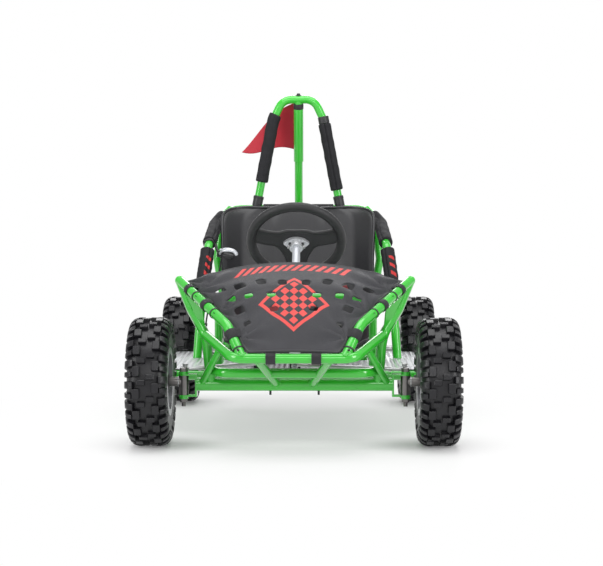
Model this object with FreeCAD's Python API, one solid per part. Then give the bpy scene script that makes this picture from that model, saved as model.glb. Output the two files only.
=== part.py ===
import FreeCAD, Part
import math
import os

from FreeCAD import Placement, Rotation, Vector

# Electric go-kart with a tube frame, a roll hoop and a fabric nose cover.
# Millimetres, +Z up, the nose towards -Y. Origin: middle of the overall box, on the ground.
# Pieces are drawn with Y measured back from the front axle, and moved to the origin at the end.

# Wheels and axles
WHEELBASE = 960.0
TRACK = 736.0
TYRE_DIAMETER = 330.0
TYRE_WIDTH = 120.0
LUG_HEIGHT = 9.0
LUG_COUNT = 16
RIM_SEAT_DIAMETER = 150.0
RIM_FLANGE_DIAMETER = 176.0
RIM_WIDTH = 98.0
RIM_WALL = 3.0
HUB_DIAMETER = 44.0
HUB_LENGTH = 70.0
STUB_DIAMETER = 16.0
AXLE_DIAMETER = 25.0
AXLE_LENGTH = 826.0
AXLE_END = 10.0
AXLE_NUT = 8.0
RUNNING = 0.05
SEAT_GAP = 0.3

# Frame tubes
RAIL = 32.0
TUBE = 25.0
STEP_TUBE = 28.0
BRACE = 25.0
FRAME_Z = 158.0
BEAM_HALF = 252.0
RAIL_FRONT_X = 205.0
RAIL_X = 215.0
RAIL_SPREAD_Y = 240.0
KICK_AHEAD = 200.0
KICK_RUN = 100.0
REAR_Z = 219.0
FRONT_CROSS_Y = 120.0
SEAT_CROSS_AHEAD = 253.0
MOTOR_CROSS_AHEAD = 171.0
CROSS_LIFT = 2.0
REAR_OVERHANG = 148.0
RAIL_BEND = 60.0
NOSE_REACH = 200.0
NOSE_Z = 243.0
NOSE_HALF = 148.0
NOSE_BEND = 45.0
NOSE_END = (224.0, -48.0, 287.0)
CORNER_FOOT_X = 125.0
CORNER_KNEE = (166.0, -138.0, 321.0)
APEX = (302.0, 100.0, 420.0)
CORNER_BOW = (268.0, 46.0, 346.0)
CORNER_BEND = 60.0
CORNER_LEG_BEND = 32.0
APEX_WELD = 0.6
CORNER_BRACE = 18.0
GUSSET = 3.0
GUARD_Y = -80.0
GUARD_Z = 195.0
STRUT_TOP_X = 90.0
STRUT_FOOT_X = 45.0
STRUT_TUBE = 22.0

# Steering
KINGPIN_X = 285.0
KINGPIN_DIAMETER = 16.0
KNUCKLE_DIAMETER = 26.0
BRACKET_OPENING = 50.0
BRACKET_PLATE = 4.0
COLUMN_ANGLE = 41.0
COLUMN_FOOT = (0.0, 40.0, 229.0)
COLUMN_LENGTH = 440.0
COLUMN_DIAMETER = 22.0
ADAPTER_DEPTH = 12.0
PITMAN_ARM = 30.0
PITMAN_PLATE = 6.0
PITMAN_FOOT = 15.0
STEERING_ARM = 55.0
BUSHING_DIAMETER = 34.0
BUSHING_LENGTH = 36.0
POST_HALF = 14.0
POST_THICK = 6.0
ROD_DIAMETER = 11.0
ROD_EYE = 18.0
ROD_EYE_THICK = 9.0
ROD_BOLT = 8.0
ROD_PLAY = 2.0
ROD_GAP = 1.5
ROD_HEAD = 4.0
ROD_NUT = 7.0
ROD_NUT_START = 34.0
ROD_OUTER_Z = 191.0
WHEEL_RIM_DIAMETER = 278.0
WHEEL_GRIP = 27.0

# Dash hoop, steps and floor
DASH_X = 209.0
DASH_Y = 240.0
DASH_Z = 368.0
DASH_TUBE = 22.0
DASH_BEND = 55.0
STEP_X = 372.0
STEP_FRONT_Y = 235.0
STEP_REAR_AHEAD = 208.0
STEP_MIDDLE_AHEAD = 333.0
STEP_BEND = 55.0
PLATE = 2.5
FLOOR_FRONT_Y = 90.0
FLOOR_REAR_AHEAD = 438.0
FLOOR_LAP = 15.0
FLOOR_HALF = 205.0

# Hoops and rails behind and beside the driver
HOOP_AHEAD = 67.0
SHOULDER_Z = 606.0
SHOULDER_X = 232.0
SHOULDER_WAIST_X = 252.0
SHOULDER_WAIST_Z = 450.0
SHOULDER_BEND = 62.0
SOCKET_X = 130.0
SOCKET_DIAMETER = 31.0
SOCKET_TOP_Z = 642.0
HOOP_TOP_Z = 943.0
HOOP_NECK_X = 78.0
HOOP_NECK_DROP = 63.0
HOOP_BEND = 66.0
SLEEVE_DIAMETER = 30.0
FLAG_POLE = 8.0

# Seat
SEAT_WALL = 8.0

# Soft parts
HOOP_PAD = 36.0
HOOP_PAD_LIFT = 29.8
HOOP_PAD_END = 2.8
RAIL_PAD = 42.0
COVER_THICK = 3.0
STRAP_THICK = 2.0

# Drive and brake
SPROCKET_X = 140.0
SPROCKET_RADIUS = 62.0
PINION_RADIUS = 20.0
CHAIN_WIDTH = 8.0
CHAIN_HEIGHT = 9.0
CHAIN_GROOVE = 5.0
TOOTH_TIP = 2.0
MOTOR_AHEAD = 125.0
MOTOR_Z = 195.0
MOTOR_DIAMETER = 100.0
MOTOR_LENGTH = 115.0
DISC_X = -185.0
DISC_DIAMETER = 140.0
DISC_THICK = 3.0
CALLIPER_BITE = 8.0
CALLIPER_FRONT = 16.0
CABLE_DIAMETER = 5.0
CLIP_WALL = 2.0
CLIP_WIDTH = 8.0
CLIP_TAB = 6.0

# Battery case, pedals and belt
BATTERY_AHEAD = 48.0
BATTERY_HALF = 140.0
BATTERY_LENGTH = 128.0
BATTERY_HEIGHT = 147.5
BATTERY_LID = 15.0
BATTERY_LIP = 4.0
TRAY_LENGTH = 140.0
PEDAL_X = 95.0
PEDAL_Y = 166.0
PEDAL_BLOCK = 32.0
PEDAL_BLOCK_HEIGHT = 24.0
PEDAL_ARM = 10.0
PEDAL_LEAN = 44.0
PEDAL_RISE = 92.0
PEDAL_TILT = 30.0
PEDAL_PAD_WIDTH = 54.0
PEDAL_PAD_LENGTH = 72.0
PEDAL_PAD_THICK = 6.0
BELT_WIDTH = 38.0
BELT_THICK = 2.4
BELT_LEFT = (-185.0, 151.0, 300.0)
BELT_MIDDLE = (0.0, 171.0, 318.0)
BELT_RIGHT = (185.0, 141.0, 372.0)

REAR_Y = WHEELBASE + REAR_OVERHANG
HOOP_Y = WHEELBASE - HOOP_AHEAD
KICK_START_Y = WHEELBASE - KICK_AHEAD
KICK_END_Y = KICK_START_Y + KICK_RUN
FLOOR_REAR_Y = HOOP_Y - FLOOR_REAR_AHEAD
STEP_REAR_Y = WHEELBASE - STEP_REAR_AHEAD
STEP_MIDDLE_Y = HOOP_Y - STEP_MIDDLE_AHEAD
MOTOR_Y = WHEELBASE - MOTOR_AHEAD
MOTOR_CROSS_Y = HOOP_Y - MOTOR_CROSS_AHEAD
CROSS_TUBES_Y = (FRONT_CROSS_Y, FLOOR_REAR_Y - FLOOR_LAP, HOOP_Y - SEAT_CROSS_AHEAD, MOTOR_CROSS_Y)
HOOP_NECK_Z = HOOP_TOP_Z - HOOP_NECK_DROP
CORNER_FOOT = (CORNER_FOOT_X, -NOSE_REACH, NOSE_Z)
AXLE_Z = TYRE_DIAMETER / 2
CROSS_Z = FRAME_Z + CROSS_LIFT
SEAT_BASE_Z = CROSS_Z + TUBE / 2 + SEAT_GAP
FRONT_Y = -(WHEELBASE + AXLE_Z - NOSE_REACH - TUBE / 2 - STRAP_THICK - SEAT_GAP) / 2
WHEEL_X = TRACK / 2
REAR_WHEEL_X = AXLE_LENGTH / 2 - AXLE_END - HUB_LENGTH / 2
SIDES = (("left", -1), ("right", 1))


def at(x, y, z):
    """Point given by X, the distance behind the front axle, and the height."""
    return Vector(x, y, z)


def mirror(shape):
    """Copy of a shape on the other side of the kart's middle plane."""
    return shape.mirror(Vector(0, 0, 0), Vector(1, 0, 0))


def both_sides(shape):
    """The shape and its mirror image, as solids that do not touch."""
    return Part.makeCompound([shape, mirror(shape)])


def fuse(first, *others):
    """One solid from pieces that are welded together."""
    return first.multiFuse(list(others))


def path(points, bend):
    """Straight runs through the points, joined by tangent arcs of the bend radius."""
    edges = []
    start = points[0]
    for before, corner, after in zip(points, points[1:], points[2:]):
        into = (corner - before).normalize()
        out = (after - corner).normalize()
        half = into.getAngle(out) / 2
        reach = bend * math.tan(half)
        enter = corner - into * reach
        leave = corner + out * reach
        middle = corner + (out - into).normalize() * (bend / math.cos(half) - bend)
        edges.append(Part.LineSegment(start, enter).toShape())
        edges.append(Part.Arc(enter, middle, leave).toShape())
        start = leave
    edges.append(Part.LineSegment(start, points[-1]).toShape())
    return Part.Wire(edges)


def disc(centre, axis, diameter):
    """Flat round face."""
    return Part.Face(Part.Wire(Part.makeCircle(diameter / 2, centre, axis)))


def tube(points, diameter, bend=1.0):
    """Bent round bar along the points."""
    return path(points, bend).makePipe(disc(points[0], points[1] - points[0], diameter))


def rod(start, end, diameter):
    """Straight round bar between two points."""
    return Part.makeCylinder(diameter / 2, (end - start).Length, start, end - start)


def ring(start, end, outer, inner):
    """Straight sleeve between two points."""
    return rod(start, end, outer).cut(rod(start, end, inner))


def box(low, high):
    """Block between two corners."""
    size = high - low
    return Part.makeBox(size.x, size.y, size.z, low)


def between(start, end, share):
    """Point at a share of the way from start to end."""
    return start + (end - start) * share


def revolved(profile, centre):
    """Solid turned about the X axis through the centre; the profile holds (x, radius) corners."""
    points = [centre + Vector(x, 0, radius) for x, radius in profile]
    face = Part.Face(Part.makePolygon(points + points[:1]))
    return face.revolve(centre, Vector(1, 0, 0), 360)


def plate_yz(outline, x_low, x_high):
    """Flat plate that stands along the kart; the outline holds (y, z) corners."""
    points = [at(x_low, y, z) for y, z in outline]
    return Part.Face(Part.makePolygon(points + points[:1])).extrude(Vector(x_high - x_low, 0, 0))


def floor_frame():
    """Front beam, bent side rails that kick up over the rear axle, cross tubes and kingpin brackets."""
    half = [
        at(RAIL_FRONT_X, 0, FRAME_Z),
        at(RAIL_X, RAIL_SPREAD_Y, FRAME_Z),
        at(RAIL_X, KICK_START_Y, FRAME_Z),
        at(RAIL_X, KICK_END_Y, REAR_Z),
        at(RAIL_X, REAR_Y, REAR_Z),
    ]
    other = [Vector(-p.x, p.y, p.z) for p in reversed(half)]
    rails = tube(half + other, RAIL, RAIL_BEND)
    beam = rod(at(-BEAM_HALF, 0, FRAME_Z), at(BEAM_HALF, 0, FRAME_Z), RAIL + 2)
    front = fuse(beam, *[kingpin_bracket(side) for name, side in SIDES])
    crosses = [rod(at(-RAIL_X, y, CROSS_Z), at(RAIL_X, y, CROSS_Z), TUBE) for y in CROSS_TUBES_Y]
    return fuse(rails, *crosses).fuse(front)


BRACKET_LOW_Z = AXLE_Z - BRACKET_OPENING / 2 - 9.0
BRACKET_HIGH_Z = BRACKET_LOW_Z + BRACKET_OPENING


def kingpin_bracket(side):
    """Channel that is open outwards, with a rounded plate above and below the knuckle."""
    half = KNUCKLE_DIAMETER / 2
    plates = []
    for low in (BRACKET_LOW_Z - BRACKET_PLATE, BRACKET_HIGH_Z):
        pin = at(side * KINGPIN_X, 0, low)
        round_end = Part.makeCylinder(half, BRACKET_PLATE, pin)
        inner = side * (BEAM_HALF - 2)
        outer = side * KINGPIN_X
        arm = box(at(min(inner, outer), -half, low), at(max(inner, outer), half, low + BRACKET_PLATE))
        plates += [round_end, arm]
    web_x = sorted((side * (BEAM_HALF - 2), side * (BEAM_HALF + 3)))
    web = box(
        at(web_x[0], -half, BRACKET_LOW_Z - BRACKET_PLATE),
        at(web_x[1], half, BRACKET_HIGH_Z + BRACKET_PLATE),
    )
    foot = at(side * KINGPIN_X, 0, BRACKET_LOW_Z - BRACKET_PLATE - 6)
    top = at(side * KINGPIN_X, 0, BRACKET_HIGH_Z + BRACKET_PLATE + 6)
    kingpin = rod(foot, top, KINGPIN_DIAMETER)
    heads = [rod(foot, foot + Vector(0, 0, 6), 24), rod(top - Vector(0, 0, 6), top, 24)]
    return fuse(web, *plates, kingpin, *heads)


def nose_tube():
    """Low front tube whose ends turn up and back to the corner tubes."""
    x, y, z = NOSE_END
    points = [
        at(-x, y, z),
        at(-NOSE_HALF, -NOSE_REACH, NOSE_Z),
        at(NOSE_HALF, -NOSE_REACH, NOSE_Z),
        at(x, y, z),
    ]
    return tube(points, TUBE, NOSE_BEND)


def corner_tube():
    """Tube up from the nose tube to the apex and back down to the front beam, with its gusset and brace."""
    apex = at(*APEX)
    end = at(*NOSE_END)
    foot = at(RAIL_X, 0, FRAME_Z)
    knee = at(*CORNER_KNEE)
    inner = tube([at(*CORNER_FOOT), knee, apex], TUBE, CORNER_BEND)
    outer = tube([apex, at(*CORNER_BOW), end, foot], TUBE, CORNER_LEG_BEND)
    ball = Part.makeSphere(TUBE / 2 + APEX_WELD, apex)
    corners = [between(apex, end, 0.08), between(apex, knee, 0.5), end]
    plate = Part.Face(Part.makePolygon(corners + corners[:1]))
    plate = plate.extrude(plate.normalAt(0, 0) * GUSSET)
    plate = plate.cut(rod(apex, knee, TUBE + 2 * (SEAT_GAP + STRAP_THICK) + 2))
    nose_corner = between(at(NOSE_HALF, -NOSE_REACH, NOSE_Z), end, 0.45)
    brace = rod(nose_corner, at(BEAM_HALF - 12, 0, FRAME_Z), CORNER_BRACE)
    return fuse(inner, outer, ball).fuse(plate).fuse(brace)


def nose_struts():
    """Y legs from the nose tube to the front beam, and the guard tube ahead of the tie rods."""
    pieces = []
    for name, side in SIDES:
        top = at(side * STRUT_TOP_X, -NOSE_REACH, NOSE_Z)
        foot = at(side * STRUT_FOOT_X, 0, FRAME_Z)
        pieces.append(rod(top, foot, STRUT_TUBE))
    ends = [at(s * RAIL_X, 0, GUARD_Z) for s in (-1, 1)]
    front = [at(s * (RAIL_X - 35), GUARD_Y, GUARD_Z) for s in (-1, 1)]
    guard = tube([ends[0], front[0], front[1], ends[1]], TUBE, 30.0)
    return fuse(guard, *pieces)


def column_frame():
    """Placement whose Z axis runs up the steering column, and whose Y axis points down and back."""
    return Placement(at(*COLUMN_FOOT), Rotation(Vector(1, 0, 0), COLUMN_ANGLE - 90))


def on_column(shape):
    """Shape drawn about the column's own axis, put at its place."""
    shape.Placement = column_frame()
    return shape


def steering_column():
    """Shaft with the pitman plate at its foot, and the bolt that holds both tie rods to the plate."""
    shaft = Part.makeCylinder(COLUMN_DIAMETER / 2, COLUMN_LENGTH - ADAPTER_DEPTH)
    tip = Vector(0, PITMAN_ARM, 0)
    tip_radius = ROD_BOLT / 2 + 6
    plate = fuse(
        Part.makeCylinder(PITMAN_FOOT, PITMAN_PLATE),
        Part.makeCylinder(tip_radius, PITMAN_PLATE, tip),
        Part.makeBox(2 * tip_radius, PITMAN_ARM, PITMAN_PLATE, Vector(-tip_radius, 0, 0)),
    )
    reach = 2 * ROD_GAP + ROD_EYE_THICK + ROD_HEAD
    up = Vector(0, 0, 1)
    bolt = Part.makeCylinder(ROD_BOLT / 2, PITMAN_PLATE + 2 * reach, tip - up * reach)
    head = Part.makeCylinder(ROD_BOLT / 2 + 2.5, ROD_HEAD, tip - up * reach)
    nut = Part.makeCylinder(ROD_BOLT / 2 + 2.5, ROD_HEAD, tip + up * (PITMAN_PLATE + reach - ROD_HEAD))
    return on_column(fuse(shaft, plate, bolt, head, nut))


def pitman_eye(side):
    """Centre of the tie rod's inner eye: the left one over the pitman plate, the right one under it."""
    away = ROD_GAP + ROD_EYE_THICK / 2
    local = Vector(0, PITMAN_ARM, PITMAN_PLATE + away if side < 0 else -away)
    return column_frame().multVec(local)


def knuckle_eye(side):
    """Centre of the tie rod's outer eye."""
    return at(side * KINGPIN_X, STEERING_ARM, ROD_OUTER_Z)


def tie_rod(side):
    """Rod with a flat eye at each end, and a lock nut behind each eye."""
    inner = pitman_eye(side)
    outer = knuckle_eye(side)
    along = (outer - inner).normalize()
    column = column_frame().Rotation.multVec(Vector(0, 0, 1))
    inner_eye = Part.makeCylinder(
        ROD_EYE / 2, ROD_EYE_THICK, inner - column * (ROD_EYE_THICK / 2), column
    )
    outer_eye = Part.makeCylinder(
        ROD_EYE / 2, ROD_EYE_THICK, outer - Vector(0, 0, ROD_EYE_THICK / 2)
    )
    shank = rod(inner + along * 5, outer - along * 5, ROD_DIAMETER * 0.7)
    nut_end = ROD_NUT_START + ROD_NUT
    bar = rod(inner + along * nut_end, outer - along * nut_end, ROD_DIAMETER)
    nuts = [
        rod(inner + along * ROD_NUT_START, inner + along * nut_end, ROD_DIAMETER + 3),
        rod(outer - along * nut_end, outer - along * ROD_NUT_START, ROD_DIAMETER + 3),
    ]
    bores = [
        Part.makeCylinder(ROD_BOLT / 2 + RUNNING, 40, inner - column * 20, column),
        Part.makeCylinder(ROD_BOLT / 2 + ROD_PLAY, 40, outer - Vector(0, 0, 20)),
    ]
    body = fuse(inner_eye, outer_eye, shank, bar, *nuts)
    for bore in bores:
        body = body.cut(bore)
    return body


def knuckle(side):
    """Kingpin tube with the stub axle, the steering arm and the arm's bolt."""
    low = BRACKET_LOW_Z + SEAT_GAP
    high = BRACKET_HIGH_Z - SEAT_GAP
    body = rod(at(side * KINGPIN_X, 0, low), at(side * KINGPIN_X, 0, high), KNUCKLE_DIAMETER)
    hub_inner = WHEEL_X - HUB_LENGTH / 2
    hub_outer = WHEEL_X + HUB_LENGTH / 2
    shoulder = rod(at(side * KINGPIN_X, 0, AXLE_Z), at(side * (hub_inner - 0.5), 0, AXLE_Z), 24)
    stub = rod(at(side * KINGPIN_X, 0, AXLE_Z), at(side * (hub_outer + 14), 0, AXLE_Z), STUB_DIAMETER)
    nut = rod(
        at(side * (hub_outer + 0.5), 0, AXLE_Z), at(side * (hub_outer + 10), 0, AXLE_Z), 26
    )
    arm_z = high - 7
    arm_top = arm_z + 6
    arm = fuse(
        Part.makeCylinder(10, 6, at(side * KINGPIN_X, STEERING_ARM, arm_z)),
        box(at(side * KINGPIN_X - 8, 0, arm_z), at(side * KINGPIN_X + 8, STEERING_ARM, arm_top)),
    )
    eye_low = ROD_OUTER_Z - ROD_EYE_THICK / 2
    pin = at(side * KINGPIN_X, STEERING_ARM, arm_z - 5)
    bolt = Part.makeCylinder(ROD_BOLT / 2, ROD_OUTER_Z + ROD_EYE_THICK / 2 + 3 - pin.z, pin)
    spacer = Part.makeCylinder(
        6.5, eye_low - SEAT_GAP - arm_top, at(side * KINGPIN_X, STEERING_ARM, arm_top)
    )
    bore = rod(
        at(side * KINGPIN_X, 0, low - 1),
        at(side * KINGPIN_X, 0, high + 1),
        KINGPIN_DIAMETER + 2 * RUNNING,
    )
    return fuse(body, shoulder, stub, nut, arm, bolt, spacer).cut(bore)


def steering_wheel():
    """Round rim with two side spokes, one lower spoke and a hub plate."""
    ring_radius = (WHEEL_RIM_DIAMETER - WHEEL_GRIP) / 2
    rim = Part.makeTorus(ring_radius, WHEEL_GRIP / 2)
    hub = Part.makeCylinder(42, 8, Vector(0, 0, -4))
    spokes = []
    for angle, root, tip in ((0, 44, 30), (180, 44, 30), (90, 56, 40)):
        outline = [
            Vector(20, -root / 2, -4),
            Vector(ring_radius, -tip / 2, -4),
            Vector(ring_radius, tip / 2, -4),
            Vector(20, root / 2, -4),
        ]
        spoke = Part.Face(Part.makePolygon(outline + outline[:1])).extrude(Vector(0, 0, 8))
        spoke.rotate(Vector(0, 0, 0), Vector(0, 0, 1), angle)
        spokes.append(spoke)
    wheel = fuse(rim, hub, *spokes)
    wheel.translate(Vector(0, 0, COLUMN_LENGTH))
    return on_column(Part.makeCompound([wheel]))


def wheel_adapter():
    """Pointed oval plate that clamps the wheel to the column, with its bolts."""
    low = COLUMN_LENGTH - ADAPTER_DEPTH
    tips = 36
    half = 20
    arcs = [
        Part.Arc(Vector(-tips, 0, low), Vector(0, half, low), Vector(tips, 0, low)).toShape(),
        Part.Arc(Vector(tips, 0, low), Vector(0, -half, low), Vector(-tips, 0, low)).toShape(),
    ]
    plate = Part.Face(Part.Wire(arcs)).extrude(Vector(0, 0, 8))
    collar = Part.makeCylinder(18, 20, Vector(0, 0, low - 20))
    collar = collar.cut(Part.makeCylinder(COLUMN_DIAMETER / 2, 20, Vector(0, 0, low - 20)))
    nuts = [Part.makeCylinder(5, 6, Vector(x, y, low - 6)) for x in (-17, 17) for y in (-7, 7)]
    nuts = [nut.cut(Part.makeCylinder(18, 40, Vector(0, 0, low - 30))) for nut in nuts]
    return on_column(Part.makeCompound([fuse(plate, collar, *nuts)]))


def dash_hoop():
    """Hoop over the driver's legs, from rail to rail."""
    foot_z = FRAME_Z
    points = [
        at(-DASH_X, DASH_Y, foot_z),
        at(-DASH_X, DASH_Y, DASH_Z),
        at(DASH_X, DASH_Y, DASH_Z),
        at(DASH_X, DASH_Y, foot_z),
    ]
    return tube(points, DASH_TUBE, DASH_BEND)


def column_supports():
    """Bushings that carry the column, one on a post from the floor frame and one on the dash hoop."""
    pieces = []
    for y, foot_z in ((FRONT_CROSS_Y, CROSS_Z), (DASH_Y, DASH_Z)):
        along = (y - COLUMN_FOOT[1]) / math.cos(math.radians(COLUMN_ANGLE))
        centre = column_frame().multVec(Vector(0, 0, along))
        low = Vector(0, 0, along - BUSHING_LENGTH / 2)
        sleeve = on_column(Part.makeCylinder(BUSHING_DIAMETER / 2, BUSHING_LENGTH, low))
        bore = on_column(Part.makeCylinder(COLUMN_DIAMETER / 2 + RUNNING, COLUMN_LENGTH))
        web = box(at(-POST_HALF, y - POST_THICK / 2, foot_z), at(POST_HALF, y + POST_THICK / 2, centre.z))
        pieces.append(fuse(sleeve, web).cut(bore))
    return Part.makeCompound(pieces)


def step_frame():
    """Side loop between the wheels, with a middle member that carries the side rail."""
    inner = RAIL_X
    points = [
        at(inner, STEP_FRONT_Y, FRAME_Z),
        at(STEP_X, STEP_FRONT_Y, FRAME_Z),
        at(STEP_X, STEP_REAR_Y, FRAME_Z),
        at(inner, STEP_REAR_Y, FRAME_Z),
    ]
    loop = tube(points, STEP_TUBE, STEP_BEND)
    middle = rod(at(inner, STEP_MIDDLE_Y, FRAME_Z), at(STEP_X, STEP_MIDDLE_Y, FRAME_Z), STEP_TUBE)
    return fuse(loop, middle)


def step_plate():
    """Chequer plate on top of the side loop."""
    low = FRAME_Z + STEP_TUBE / 2 + SEAT_GAP
    outer = STEP_X + STEP_TUBE / 2 - 4
    inner = RAIL_X + RAIL / 2 + 1
    plate = box(at(inner, STEP_FRONT_Y - 8, low), at(outer, STEP_REAR_Y + 8, low + PLATE))
    corners = [e for e in plate.Edges if is_upright(e) and e.Vertexes[0].X > outer - 1]
    return plate.makeFillet(40.0, corners)


def is_upright(edge):
    first, last = edge.Vertexes[0].Point, edge.Vertexes[-1].Point
    return abs(first.x - last.x) + abs(first.y - last.y) < 0.01


def floor_plate():
    """Chequer plate under the driver's feet, on the rails and cross tubes."""
    low = FRAME_Z + RAIL / 2 + SEAT_GAP
    return box(at(-FLOOR_HALF, FLOOR_FRONT_Y, low), at(FLOOR_HALF, FLOOR_REAR_Y, low + PLATE))


def shoulder_hoop():
    """Hoop behind the seat's top with the two sockets of the roll hoop."""
    points = [
        at(-RAIL_X, HOOP_Y, REAR_Z),
        at(-SHOULDER_WAIST_X, HOOP_Y, SHOULDER_WAIST_Z),
        at(-SHOULDER_X, HOOP_Y, SHOULDER_Z),
        at(SHOULDER_X, HOOP_Y, SHOULDER_Z),
        at(SHOULDER_WAIST_X, HOOP_Y, SHOULDER_WAIST_Z),
        at(RAIL_X, HOOP_Y, REAR_Z),
    ]
    return tube(points, TUBE, SHOULDER_BEND)


def hoop_leg_axis(side):
    """Foot and neck of one leg of the roll hoop."""
    return at(side * SOCKET_X, HOOP_Y, SHOULDER_Z), at(side * HOOP_NECK_X, HOOP_Y, HOOP_NECK_Z)


def roll_hoop():
    """Narrow hoop over the driver's head; its legs lean in towards the top."""
    points = [
        hoop_leg_axis(-1)[0],
        hoop_leg_axis(-1)[1],
        at(-HOOP_NECK_X * 0.62, HOOP_Y, HOOP_TOP_Z),
        at(HOOP_NECK_X * 0.62, HOOP_Y, HOOP_TOP_Z),
        hoop_leg_axis(1)[1],
        hoop_leg_axis(1)[0],
    ]
    return tube(points, TUBE, HOOP_BEND * 0.62)


def hoop_sockets():
    """Black sleeves that clamp the roll hoop's legs to the shoulder hoop."""
    sleeves = []
    for name, side in SIDES:
        foot, neck = hoop_leg_axis(side)
        top = between(foot, neck, (SOCKET_TOP_Z - SHOULDER_Z) / (HOOP_NECK_Z - SHOULDER_Z))
        sleeves.append(ring(foot, top, SOCKET_DIAMETER, TUBE))
    return Part.makeCompound(sleeves)


def brace_ends():
    """Top and foot of the rear centre brace."""
    return at(0, HOOP_Y, HOOP_TOP_Z), at(0, REAR_Y, REAR_Z)


def rear_brace():
    """Tube from the top of the roll hoop down to the rear cross tube, with a sleeve over its upper part."""
    top, foot = brace_ends()
    sleeve = rod(between(top, foot, 0.03), between(top, foot, 0.26), SLEEVE_DIAMETER)
    return fuse(rod(top, foot, BRACE), sleeve)


def pole_shift():
    """Step from the brace's axis back to the pole's."""
    top, foot = brace_ends()
    across = (foot - top).normalize().cross(Vector(1, 0, 0)) * -1
    return across * (SLEEVE_DIAMETER / 2 + FLAG_POLE / 2 + SEAT_GAP)


def flag_pole():
    """Thin pole clipped behind the sleeve."""
    top, foot = brace_ends()
    shift = pole_shift()
    start = between(top, foot, 0.27) + shift
    end = between(top, foot, -0.02) + shift
    return rod(start, end, FLAG_POLE)


def flag():
    """Pennant hung from the pole."""
    top, foot = brace_ends()
    shift = pole_shift()
    high = between(top, foot, 0.02) + shift
    low = between(top, foot, 0.22) + shift
    tip = low + Vector(-152, 20, -8)
    side = FLAG_POLE / 2 + SEAT_GAP
    points = [high - Vector(side, 1, 0), low - Vector(side, 1, 0), tip]
    return Part.Face(Part.makePolygon(points + points[:1])).extrude(Vector(0, 2, 0))


# Corners of the side rail: x, y, z
RAIL_HEAD = (212.0, HOOP_Y, SHOULDER_Z - 2.0)
RAIL_TOP = (252.0, HOOP_Y - 63.0, SHOULDER_Z - 46.0)
RAIL_ELBOW = (264.0, HOOP_Y - 243.0, 495.0)
RAIL_KNEE = (276.0, STEP_MIDDLE_Y + 40.0, 400.0)
RAIL_FOOT = (292.0, STEP_MIDDLE_Y, FRAME_Z)
RAIL_TURN = 30.0


def side_rail():
    """Rail beside the driver, from the shoulder hoop down to the side loop."""
    corners = (RAIL_HEAD, RAIL_TOP, RAIL_ELBOW, RAIL_KNEE, RAIL_FOOT)
    return tube([at(*corner) for corner in corners], TUBE, RAIL_TURN)


RAIL_PAD_SPANS = (
    # upper and lower end of the run, share of the run where the pad starts and ends
    (RAIL_TOP, RAIL_ELBOW, 0.12, 0.85),
    (RAIL_ELBOW, RAIL_KNEE, 0.14, 0.95),
)


def rail_pads():
    """Foam sleeves on the side rails, above and below the bend."""
    pads = []
    for upper, lower, first, last in RAIL_PAD_SPANS:
        start = between(at(*upper), at(*lower), first)
        end = between(at(*upper), at(*lower), last)
        pads.append(ring(start, end, RAIL_PAD, TUBE + 2 * SEAT_GAP))
    return pads


def hoop_pads():
    """Foam sleeves on the roll hoop's legs."""
    pads = []
    for name, side in SIDES:
        foot, neck = hoop_leg_axis(side)
        along = (neck - foot).normalize()
        start = foot + along * ((SOCKET_TOP_Z + HOOP_PAD_LIFT - SHOULDER_Z) / along.z)
        pads.append(ring(start, neck - along * HOOP_PAD_END, HOOP_PAD, TUBE + 2 * SEAT_GAP))
    return Part.makeCompound(pads)


def hoop_plate():
    """Black cross plate on the front of the shoulder hoop."""
    y = HOOP_Y - TUBE / 2 - SEAT_GAP
    return box(at(-108, y - 3, SHOULDER_Z - 30), at(108, y, SHOULDER_Z + 15))


SEAT_STATIONS = (
    # ahead of the hoop, height over the base, lean of the section, half width at the base, at the rim, depth
    (465.0, 31.0, -14.0, 150.0, 196.0, 34.0),
    (423.0, 6.0, -10.0, 152.0, 204.0, 66.0),
    (333.0, 0.0, 0.0, 152.0, 207.0, 104.0),
    (253.0, 0.0, 12.0, 152.0, 209.0, 112.0),
    (189.0, 38.0, 42.0, 152.0, 212.0, 112.0),
    (147.0, 116.0, 62.0, 152.0, 215.0, 104.0),
    (87.0, 286.0, 70.0, 152.0, 219.0, 92.0),
    (45.0, 402.0, 70.0, 150.0, 226.0, 66.0),
    (31.0, 440.0, 70.0, 140.0, 205.0, 30.0),
)
SEAT_CORNER = 26.0


def seat_section(station, wall):
    """Tub-shaped section with a flat base, round corners and flared sides, drawn in by the wall."""
    ahead, z, lean, base, rim, depth = station
    lean = math.radians(lean)
    up = Vector(0, -math.sin(lean), math.cos(lean))
    origin = at(0, HOOP_Y - ahead, SEAT_BASE_Z + z)
    over = 60.0 if wall else 0.0
    side = (rim - base) / depth
    low = wall
    high = depth + over
    base_half = base - wall * 0.6
    corner = SEAT_CORNER

    def point(x, height):
        return origin + Vector(x, 0, 0) + up * height

    def wall_x(height):
        return base - wall + side * height

    pieces = []
    knee = low + corner * depth / 112.0
    for sign in (1, -1):
        start = point(sign * (base_half - corner), low)
        middle = point(sign * (base_half - corner * 0.22), low + (knee - low) * 0.26)
        end = point(sign * wall_x(knee), knee)
        pieces.append((start, middle, end, point(sign * wall_x(high), high)))
    right, left = pieces
    return Part.Wire(
        [
            Part.LineSegment(left[0], right[0]).toShape(),
            Part.Arc(right[0], right[1], right[2]).toShape(),
            Part.LineSegment(right[2], right[3]).toShape(),
            Part.LineSegment(right[3], left[3]).toShape(),
            Part.LineSegment(left[3], left[2]).toShape(),
            Part.Arc(left[2], left[1], left[0]).toShape(),
        ]
    )


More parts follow.
